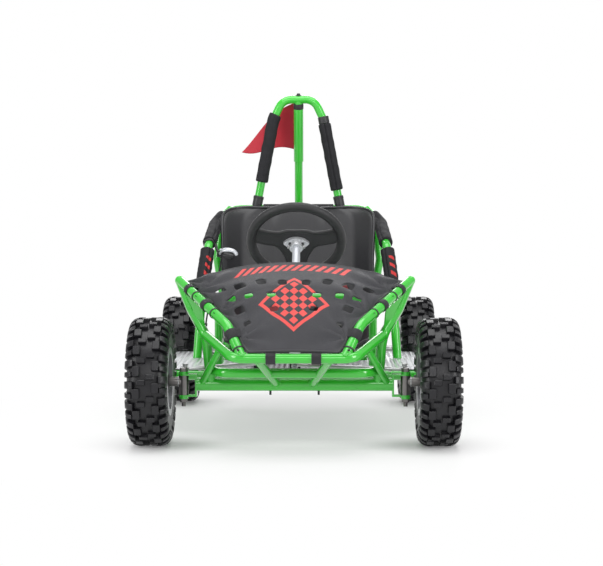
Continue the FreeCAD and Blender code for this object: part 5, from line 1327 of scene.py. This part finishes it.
# Columns: name, first and last corner of the rail's run, share of the first stretch, share of the last.
RAIL_PADS = (("upper", 0, 2, 0.45, 0.845, foam), ("lower", 2, 4, 0.085, 0.045, stripe_foam))


def part_way(start, end, share):
    """Point at a share of the way from start to end."""
    return start + share * (end - start)


def at_height(start, end, height):
    """Point at a height on the way from start to end."""
    return part_way(start, end, (height - start[2]) / (end[2] - start[2]))


def bent_line(corners, reach):
    """Points along straight runs whose inner corners are parabolas of the given reach."""
    line = [corners[0][None]]
    share = np.linspace(0, 1, 13)[:, None]
    for before, corner, after in zip(corners, corners[1:], corners[2:]):
        first, last = corner - reach * unit(corner - before), corner + reach * unit(after - corner)
        line.append((1 - share) ** 2 * first + 2 * share * (1 - share) * corner + share ** 2 * last)
    return np.concatenate([*line, corners[-1][None]])


def sleeve_skin(corners, radius, seam, unevenness):
    """Closed sleeve along a bent line: outer skin, two rounded ends and the bore.

    Its radius swells and dips along the run as a sum of sines, and falls into a narrow groove at the seam.
    """
    line = bent_line(corners, SLEEVE_BEND)
    run = run_lengths(line)
    length = run[-1]
    skin_t = np.linspace(SLEEVE_LIP, length - SLEEVE_LIP, SLEEVE_STATIONS)
    lip = np.linspace(0, np.pi / 2, 5)[1:]
    lip_t, lip_r = SLEEVE_LIP * (1 - np.sin(lip)), radius - SLEEVE_LIP * (1 - np.cos(lip))
    t = np.concatenate([[0.0], lip_t[::-1], skin_t, length - lip_t, [length]])
    skin_r = np.full(len(skin_t), radius)
    r = np.concatenate([[TUBE_CLEAR], lip_r[::-1], skin_r, lip_r, [TUBE_CLEAR]])[:, None]
    along = unit(along_line(line, run, t + SLEEVE_LIP) - along_line(line, run, t - SLEEVE_LIP))
    side = unit(np.cross(along, (0.001, -1.0, 0.0)))
    turn = round_steps(SLEEVE_SIDES)
    share = (t / length)[:, None]
    outer = np.clip((r - TUBE_CLEAR) / (radius - TUBE_CLEAR), 0, 1)
    swell = unevenness * sum(height * np.sin(gain * share + waves * turn) for height, gain, waves in SWELLS)
    gap = np.angle(np.exp(1j * (turn - math.radians(seam))))
    groove = SEAM_DEPTH * np.exp(-(gap / SEAM_SPREAD) ** 2)
    reach = r + outer * (swell - groove)
    ring = np.cos(turn)[:, None] * side[:, None] + np.sin(turn)[:, None] * np.cross(along, side)[:, None]
    points = along_line(line, run, t)[:, None] + reach[..., None] * ring
    uv = np.stack(np.broadcast_arrays(t[:, None], turn * radius), axis=-1)
    return points, grid_faces(len(t), SLEEVE_SIDES, close_rows=True, close_columns=True), uv


for name, low, high, seam in HOOP_PADS:
    side = -1 if name == "left" else 1
    foot, neck = hoop_legs[side]
    crown, = on_side(side, HOOP_CROWN)
    if high > neck[2]:
        corners = [at_height(foot, neck, low), neck, at_height(neck, crown, high)]
    else:
        corners = [at_height(foot, neck, low), at_height(foot, neck, high)]
        piece("hoop_clamp", [lathe(CLAMP_BAND, corners[1], neck - foot, 40)], case_plastic, "chassis",
              sharp=35.0)
    points, faces, uv = sleeve_skin(corners, HOOP_PAD_RADIUS, seam, HOOP_PAD_UNEVEN)
    pad = piece("hoop_pad_" + name, [(points, faces)], foam, "chassis", sharp=50.0, uv=uv)
    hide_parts("hoop_pads")
    rail = on_side(side, *RAIL_CORNERS)
    for level, first, last, low_share, high_share, skin_material in RAIL_PADS:
        corners = [part_way(rail[first], rail[first + 1], low_share), *rail[first + 1:last],
                   part_way(rail[last - 1], rail[last], high_share)]
        points, faces, uv = sleeve_skin(corners, RAIL_PAD_RADIUS, RAIL_SEAMS[side], RAIL_PAD_UNEVEN)
        pad = piece("rail_pad_" + level + "_" + name, [(points, faces)], skin_material, "chassis",
                    sharp=50.0, uv=uv)
        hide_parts("rail_pads")


# Flag: a crimson pennant of thin polyester, hemmed along its hoist and clipped to a thin pole behind
# the brace's sleeve. It is cut as a three-cornered sheet and hangs out to one side in soft waves.
FLAG_FLY = 0.178
FLAG_ROWS = 44
FLAG_COLUMNS = 56
FLAG_GAP = 0.0003
POLE_RADIUS = 0.004
SLEEVE_RADIUS = 0.015
HOIST_SHARES = (0.22, 0.02)
FLAG_THICK = 0.0006
HEM_THICK = 0.0008
HEM_STATIONS = 24
HEM_SIDES = 20
CLIP_SHARES = (0.05, 0.245)
CLIP_HALF = (0.006, 0.004, 0.010)

brace_across = -np.cross(unit(brace_run), X_AXIS)
pole_shift = brace_across * (SLEEVE_RADIUS + POLE_RADIUS + FLAG_GAP)
flag_low, flag_high = (brace_top + share * brace_run + pole_shift for share in HOIST_SHARES)


def plain_weave(tree, scale):
    """Mean of the waves of warp and weft."""
    halves = [maths(tree, "MULTIPLY", wave(tree, surface_place(tree), scale, way), 0.5) for way in ("X", "Y")]
    return maths(tree, "ADD", *halves)


flag_cloth, tree, shader = new_material("crimson_flag_cloth")
woven = plain_weave(tree, 420.0)
tone = noise(tree, object_place(tree), 18.0)
finish(tree, shader, between_colours(tree, tone, (0.50, 0.012, 0.030), (0.60, 0.020, 0.042)),
       between_values(tree, woven, 0.50, 0.64), bumped(tree, woven, 0.00012), Sheen_Weight=0.1)


def pennant():
    """Rows climb the hoist; each row is a line out to the fly, shorter towards the top along a full edge.

    The row's length is the fly times (1 - 0.985 v)^0.7. The cloth waves as a sine that grows with the
    fly, and its lower edge swings up near the hoist and down near the tip.
    """
    v = np.linspace(0, 1, FLAG_ROWS)[:, None]
    out = np.linspace(0, 1, FLAG_COLUMNS) * FLAG_FLY * (1 - 0.985 * v) ** 0.7
    far = out / FLAG_FLY
    hoist = part_way(flag_low, flag_high, v[..., None])
    points = hoist - (POLE_RADIUS + FLAG_GAP + 0.985 * out)[..., None] * X_AXIS
    points[..., 1] += 0.012 * np.sin(far * 7.6 + 1.2 * v) * np.clip(far * 2.0, 0, 1) + 0.016 * far
    points[..., 2] += 0.010 * np.sin(far * 5.7) * (1 - v) ** 0.6
    return points, np.stack(np.broadcast_arrays(out, v * np.linalg.norm(flag_high - flag_low)), axis=-1)


flag_points, flag_uv = pennant()
flag = piece("pennant", [(flag_points, grid_faces(FLAG_ROWS, FLAG_COLUMNS))], flag_cloth, "chassis",
             sharp=180.0, closed=False, uv=flag_uv,
             modifiers=(("SOLIDIFY", {"thickness": FLAG_THICK, "offset": 0.0}),))
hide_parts("flag")
hem_line = part_way(flag_low, flag_high, np.linspace(0.0, 0.985, HEM_STATIONS)[:, None])
hem_uv = np.zeros((HEM_STATIONS, HEM_SIDES, 2))
hem_uv[..., 1] = np.linspace(0, 0.15, HEM_STATIONS)[:, None]
piece("pennant_hoist", [swept(hem_line, POLE_RADIUS + HEM_THICK, HEM_SIDES)], flag_cloth, "chassis",
      sharp=60.0, uv=hem_uv)
clip_parts = [rounded_block(brace_top + share * brace_run + 0.55 * pole_shift, CLIP_HALF, X_AXIS, brace_run,
                            4.0, 13, 20) for share in CLIP_SHARES]
piece("pole_clips", clip_parts, case_plastic, "chassis", sharp=50.0)


# Nose cover: charcoal coated cloth, stretched between the corner tubes and the nose tube. It is hemmed,
# punched with rounded vents, printed in red, and creased where its straps pull at the edges.
COVER_THICK = 0.0022
STRAP_CLEAR = 0.0148
CLOTH_HALF = 0.21
COVER_LOW_IN = 0.016
COVER_LOW_CLEAR = 0.0003
COVER_EDGE_CLEAR = 0.0006
# Upper sections of the cover. Columns: run of the corner tube, share of that run, and distance behind the
# front axle and height on the middle line.
COVER_SECTIONS = ((0, 0.66, -0.148, 0.340), (1, 0.42, -0.072, 0.418), (1, 0.95, 0.050, 0.467))
# Pull points along an edge, as shares of the cover's height: where a strap holds the cloth.
EDGE_PULLS = (0.20, 0.49, 0.80, 1.0)
EDGE_HOLLOW = 0.0035
FOLD_DEPTH = 0.0042
FOLD_REACH = 0.085
SWAG_DEPTH = 0.0035
SWAG_X = 0.19
RIPPLE_DEPTH = 0.0018
# Columns: vent's distance from the middle, height up the cloth, half width, half height.
VENTS = (
    (0.030, 0.217, 0.0115, 0.0125), (0.085, 0.231, 0.0125, 0.0150), (0.139, 0.232, 0.0140, 0.0150),
    (0.190, 0.239, 0.0125, 0.0110), (0.057, 0.174, 0.0110, 0.0090), (0.115, 0.186, 0.0105, 0.0085),
    (0.160, 0.190, 0.0100, 0.0085), (0.136, 0.152, 0.0120, 0.0085), (0.050, 0.128, 0.0110, 0.0080),
    (0.117, 0.106, 0.0075, 0.0080),
)
VENT_POWER = 3.6
VENT_MARGIN = 0.0016
VENT_EDGE_OUT = 0.001
VENT_EDGE_RADIUS = 0.0011
SIDE_HEM_RADIUS = 0.0030
END_HEM_RADIUS = 0.0032
PRINT_RED = (0.80, 0.070, 0.060)
WORN_RED = (0.62, 0.05, 0.045)
BAR_ROW_Z = (0.284, 0.320)
BAR_STEP = 0.021
# Bars are counted from one metre to the left of the middle.
BAR_ROW_RUN = (32 * BAR_STEP, 46 * BAR_STEP)
BAR_SLANT = 0.6
BAR_SHARE = 0.55
RHOMBUS_AT = 0.146
RHOMBUS_HALF = (0.092, 0.097)
RHOMBUS_CELL = 0.25
RHOMBUS_FIELD = 0.75
RHOMBUS_BORDER = (0.84, 0.97)


def cover_frame():
    """Right edge and middle line of the cover at its low, knee, brow and top sections."""
    tube = on_side(1, CORNER_FOOT, CORNER_KNEE, CORNER_APEX)
    low = NOSE_TUBE_AT[1] + STRAP_CLEAR + COVER_LOW_CLEAR
    edge = [behind(CORNER_FOOT[0] - COVER_LOW_IN, NOSE_TUBE_AT[0], low)]
    middle = [behind(0.0, NOSE_TUBE_AT[0] - 0.002, low + 0.004)]
    for run, share, y, z in COVER_SECTIONS:
        along = unit(tube[run + 1] - tube[run])
        inward = unit(-X_AXIS + along * along[0])
        edge.append(part_way(tube[run], tube[run + 1], share) + inward * (STRAP_CLEAR + COVER_EDGE_CLEAR))
        middle.append(behind(0.0, y, z))
    return np.array(edge), np.array(middle)


COVER_EDGE, COVER_MIDDLE = cover_frame()
COVER_HEIGHT = run_lengths(COVER_MIDDLE)[-1]
COVER_ROWS = run_lengths(COVER_MIDDLE) / COVER_HEIGHT


def smoothed(share, rows):
    """Straight runs between the rows, rounded over a short reach each side of every row."""
    reach = 0.05
    near = np.clip(np.minimum(share, 1 - share) / reach, 0, 1)
    spots = [share + offset * near for offset in (-reach, 0.0, reach)]
    return sum(weight * along_line(rows, COVER_ROWS, spot) for weight, spot in zip((0.25, 0.5, 0.25), spots))


def half_width(share):
    """Distance from the cloth's middle to its edge, without the hollows."""
    return np.interp(share, COVER_ROWS, COVER_EDGE[:, 0])


def cloth_folds(x, share):
    """Height of the folds: waves of the bearing round each pull, a swag at each brow, and a wide ripple."""
    z = share * COVER_HEIGHT
    fold = np.zeros_like(x)
    for side in (-1, 1):
        for number, pull in enumerate(EDGE_PULLS):
            dx, dz = (side * half_width(pull) - x) * side, z - pull * COVER_HEIGHT
            distance = np.hypot(dx, dz)
            bearing = np.arctan2(dz, np.maximum(dx, 1e-6))
            fade = np.exp(-(distance / FOLD_REACH) ** 2) * np.clip(distance / 0.02, 0, 1)
            fold += FOLD_DEPTH * fade * np.cos((7 + number) * bearing + 0.9 * number + 0.6 * side)
        swag = np.exp(-((x - side * SWAG_X) / 0.05) ** 2) * np.exp(-((share - 0.62) / 0.20) ** 2)
        fold += SWAG_DEPTH * swag * np.sin(z * 95.0 + 60.0 * side * x)
    fold += RIPPLE_DEPTH * np.sin(x * 23.0 + 1.0) * np.sin(share * 8.0 + 0.4) * np.sin(np.pi * share)
    return fold * np.clip(share / 0.06, 0, 1)


def cover_point(across, share):
    """Point of the cloth. Across runs -1 to 1 between the edges, share 0 to 1 from the nose tube up.

    The section is a circular arc through both edges and the middle. Between its straps the edge draws in
    by a shallow hollow; folds leave each strap as cosine waves of the bearing, and die out with distance.
    """
    across, share = np.broadcast_arrays(np.asarray(across, float), np.asarray(share, float))
    edge, middle = smoothed(share, COVER_EDGE), smoothed(share, COVER_MIDDLE)
    hollow = np.zeros_like(share)
    for low, high in zip(EDGE_PULLS, EDGE_PULLS[1:]):
        hollow += EDGE_HOLLOW * np.sin(np.pi * np.clip((share - low) / (high - low), 0, 1))
    x = (edge[..., 0] - hollow) * across
    foot = edge * (0.0, 1.0, 1.0)
    sag = np.linalg.norm(middle - foot, axis=-1)
    radius = (edge[..., 0] ** 2 + sag ** 2) / (2 * sag)
    lift = np.sqrt(np.maximum(radius ** 2 - x ** 2, 0.0)) - (radius - sag)
    point = foot + (lift + cloth_folds(x, share))[..., None] * unit(middle - foot)
    point[..., 0] += x
    return point


def rounded_loop(centre, half, count=20):
    """Rounded rectangle as a superellipse about a centre, in the cloth's own flat measures."""
    angle = round_steps(count)[:, None]
    return centre + half * signed_power(np.concatenate([np.cos(angle), np.sin(angle)], axis=1), 0.55)


# Every vent on both halves: its middle, its half size, and the scale from metres to (across, share).
vents = [(np.array([side * aside, height]), np.array([wide, tall]),
          np.array([1 / half_width(height / COVER_HEIGHT), 1 / COVER_HEIGHT]))
         for aside, height, wide, tall in VENTS for side in (-1, 1)]


def from_vent(places, centre, half, scale):
    """How far the places (across, share) lie from a vent's middle, counted so that its rim is at one."""
    return (np.abs((places - centre * scale) / (half * scale)) ** VENT_POWER).sum(axis=1)


def cover_mesh():
    """Flat cloth cut in (across, share), with vents, filled with triangles and then laid on the surface."""
    grid = np.meshgrid(np.linspace(-1, 1, 104), np.linspace(0, 1, 62), indexing="ij")
    grid = np.stack(grid, axis=-1).reshape(-1, 2)
    for centre, half, scale in vents:
        grid = grid[from_vent(grid, centre, half + VENT_MARGIN, scale) > 1]
    loops = [rounded_loop(centre, half) * scale for centre, half, scale in vents]
    edges, start = [], len(grid)
    for loop in loops:
        edges += [(start + step, start + (step + 1) % len(loop)) for step in range(len(loop))]
        start += len(loop)
    size = np.array([CLOTH_HALF, COVER_HEIGHT])
    places = np.concatenate([grid, *loops]) * size
    made = delaunay_2d_cdt([Vector(place) for place in places], edges, [], 0, 1e-7)
    flat = np.array([tuple(spot) for spot in made[0]]) / size
    triangles = np.array(made[2])
    centres = flat[triangles].mean(axis=1)
    cloth = np.all([from_vent(centres, *vent) > 0.98 for vent in vents], axis=0)
    across, share = flat.T
    uv = np.stack([across * half_width(share), share * COVER_HEIGHT], axis=-1)
    return cover_point(across, share), triangles[cloth], uv


def cover_print(tree):
    """Mask of the print: a row of slanted bars, and a chequered rhombus in a border."""
    spot = split(tree, surface_place(tree))
    slant = maths(tree, "SUBTRACT", spot[0], maths(tree, "MULTIPLY", spot[1], BAR_SLANT))
    slant = maths(tree, "ADD", slant, 1.0)
    row = maths(tree, "MULTIPLY", bars(tree, slant, BAR_STEP, BAR_SHARE), between(tree, spot[1], *BAR_ROW_Z))
    row = maths(tree, "MULTIPLY", row, between(tree, slant, *BAR_ROW_RUN))
    along = maths(tree, "DIVIDE", spot[0], RHOMBUS_HALF[0])
    above = maths(tree, "DIVIDE", maths(tree, "SUBTRACT", spot[1], RHOMBUS_AT), RHOMBUS_HALF[1])
    ways = [maths(tree, operation, along, above) for operation in ("ADD", "SUBTRACT")]
    outer = maths(tree, "MAXIMUM", *[maths(tree, "ABSOLUTE", way) for way in ways])
    cells = [maths(tree, "DIVIDE", maths(tree, "ADD", way, 2.0), RHOMBUS_CELL) for way in ways]
    chequer = maths(tree, "ADD", *[maths(tree, "FLOOR", cell) for cell in cells])
    field = maths(tree, "MULTIPLY", maths(tree, "MODULO", chequer, 2.0),
                  maths(tree, "LESS_THAN", outer, RHOMBUS_FIELD))
    rhombus = maths(tree, "ADD", field, between(tree, outer, *RHOMBUS_BORDER))
    return maths(tree, "MINIMUM", maths(tree, "ADD", row, rhombus), 1.0)


cover_cloth, tree, shader = new_material("charcoal_coated_cloth")
printed = cover_print(tree)
place = object_place(tree)
charcoal = between_colours(tree, noise(tree, place, 14.0, 6.0), (0.014, 0.014, 0.018), (0.027, 0.027, 0.034))
red = between_colours(tree, noise(tree, place, 240.0, 3.0), PRINT_RED, WORN_RED)
threads = bumped(tree, plain_weave(tree, 330.0), 0.00022, bumped(tree, printed, 0.00008))
finish(tree, shader, between_colours(tree, printed, charcoal, red),
       between_values(tree, noise(tree, place, 60.0), 0.46, 0.62),
       bumped(tree, noise(tree, place, 22.0, 5.0), 0.0016, threads), Sheen_Weight=0.10)
hem_cloth = finish_material("black_hem_tape", dark=(0.018, 0.018, 0.020), light=(0.030, 0.030, 0.034),
                            rough=(0.55, 0.70), grain=(420.0, 0.0003), fine=(1500.0, 0.00006),
                            Sheen_Weight=0.3)

surface, triangles, cover_uv = cover_mesh()
cover = piece("stretched_nose_cover", [(surface, triangles.tolist())], cover_cloth, "chassis",
              sharp=180.0, closed=False, uv=cover_uv,
              modifiers=(("SOLIDIFY", {"thickness": COVER_THICK, "offset": 1.0}),))
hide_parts("nose_cover")
first, second, third = surface[triangles.T]
hems = [swept(cover_point(side, np.linspace(0.0, 1.0, 90)), SIDE_HEM_RADIUS, 12) for side in (-1.0, 1.0)]
hems += [swept(cover_point(np.linspace(-1.0, 1.0, 120), level), END_HEM_RADIUS, 12) for level in (0.0, 1.0)]
piece("cover_hems", hems, hem_cloth, "chassis", sharp=60.0)
vent_loops = [rounded_loop(centre, half + VENT_EDGE_OUT, 32) * scale for centre, half, scale in vents]
vent_edges = [swept(cover_point(*loop.T), VENT_EDGE_RADIUS, 8, closed=True) for loop in vent_loops]
piece("vent_edges", vent_edges, hem_cloth, "chassis", sharp=60.0)


# Straps: black webbing round the nose tube and the corner tubes, each drawn tight over the cover's
# hem, with its end folded back, and nylon zip ties with square heads.
STRAP_INNER = 0.0129
STRAP_OUTER = 0.0148
STRAP_EDGE = 0.0006
NOSE_STRAP_X = 0.056
NOSE_STRAP_HALF = 0.012
NOSE_LAP_OUT = 0.0162
NOSE_LAP_DOWN = 0.001
NOSE_LAP_HALF = (0.0115, 0.0085, 0.0014)
# Columns: run of the corner tube, share of that run, width.
CORNER_STRAPS = ((0, 0.67, 0.027), (1, 0.42, 0.020), (1, 0.775, 0.017))
CORNER_LAP_IN = 0.0165
CORNER_LAP_OUT = 0.0050
# Columns: run of the corner tube, share of that run.
ZIP_TIES = ((0, 0.26), (1, 0.25), (1, 0.63))
TIE_HALF = 0.0022
TIE_OUTER = 0.0144
TIE_HEAD_OUT = 0.0148
TIE_HEAD_HALF = (0.0032, 0.0034, 0.0028)
TIE_TAIL_RADIUS = 0.0011

strap_web, tree, shader = new_material("black_strap_webbing")
place = object_place(tree)
ribs = wave(tree, place, 190.0, "DIAGONAL", 0.4)
black = between_colours(tree, noise(tree, place, 90.0), (0.008, 0.008, 0.010), (0.017, 0.017, 0.021))
finish(tree, shader, black, between_values(tree, ribs, 0.55, 0.75), bumped(tree, ribs, 0.0004),
       Sheen_Weight=0.05)


def strap_band(middle, along, half, outer=STRAP_OUTER):
    """Band round a tube: a flat section with rounded corners, turned about the tube."""
    shoulder, top = outer - STRAP_EDGE, half - STRAP_EDGE
    profile = [(-half, STRAP_INNER), (-half, shoulder), (-top, outer), (top, outer), (half, shoulder),
               (half, STRAP_INNER), (-half, STRAP_INNER)]
    return lathe(profile, middle, along, 48)


strap_parts, tie_parts = [], []
for side in (-1, 1):
    place = behind(side * NOSE_STRAP_X, *NOSE_TUBE_AT)
    strap_parts.append(strap_band(place, X_AXIS, NOSE_STRAP_HALF))
    lap = place - NOSE_LAP_OUT * Y_AXIS - NOSE_LAP_DOWN * UP
    strap_parts.append(rounded_block(lap, NOSE_LAP_HALF, X_AXIS, UP, 7.0, 13, 28))
    tube = on_side(side, CORNER_FOOT, CORNER_KNEE, CORNER_APEX)
    for run, share, width in CORNER_STRAPS:
        middle, along = part_way(tube[run], tube[run + 1], share), unit(tube[run + 1] - tube[run])
        strap_parts.append(strap_band(middle, along, width / 2))
        inward = unit(-side * X_AXIS + along * side * along[0])
        out = unit(np.cross(along, inward))
        out = out * math.copysign(1.0, out[2])
        lap = middle + CORNER_LAP_IN * inward + CORNER_LAP_OUT * out
        lap_half = (0.0090, width / 2 - 0.0004, 0.0013)
        strap_parts.append(rounded_block(lap, lap_half, inward - 0.55 * out, along, 7.0, 13, 28))
    for run, share in ZIP_TIES:
        middle, along = part_way(tube[run], tube[run + 1], share), unit(tube[run + 1] - tube[run])
        head = middle - TIE_HEAD_OUT * Y_AXIS
        tail = head + ((0.0, 0.0, 0.0), (0.0, -0.004, 0.002), (side * 0.002, -0.010, 0.003))
        tie_parts += [strap_band(middle, along, TIE_HALF, TIE_OUTER),
                      rounded_block(head, TIE_HEAD_HALF, X_AXIS, along, 6.0, 9, 16),
                      swept(tail, TIE_TAIL_RADIUS, 8)]
straps = piece("webbing_straps", strap_parts, strap_web, "chassis", sharp=50.0)
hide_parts("cover_straps")
piece("zip_ties", tie_parts, case_plastic, "chassis", sharp=50.0)


# Front fittings: the threaded ends of two bolts that hold the nose's struts, below the front beam.
# They are blackened steel and come through the beam from above.
BEAM_BOLT_END = (0.062, 0.0, FRAME_Z - 0.0165)
BEAM_BOLT_RADIUS = 0.0030
BEAM_BOLT_LENGTH = 0.0105

bolt_ends = [shank_end(place, -UP, BEAM_BOLT_RADIUS, BEAM_BOLT_LENGTH)
             for side in (-1, 1) for place in on_side(side, BEAM_BOLT_END)]
piece("beam_bolts", bolt_ends, black_coat, "chassis", sharp=30.0)
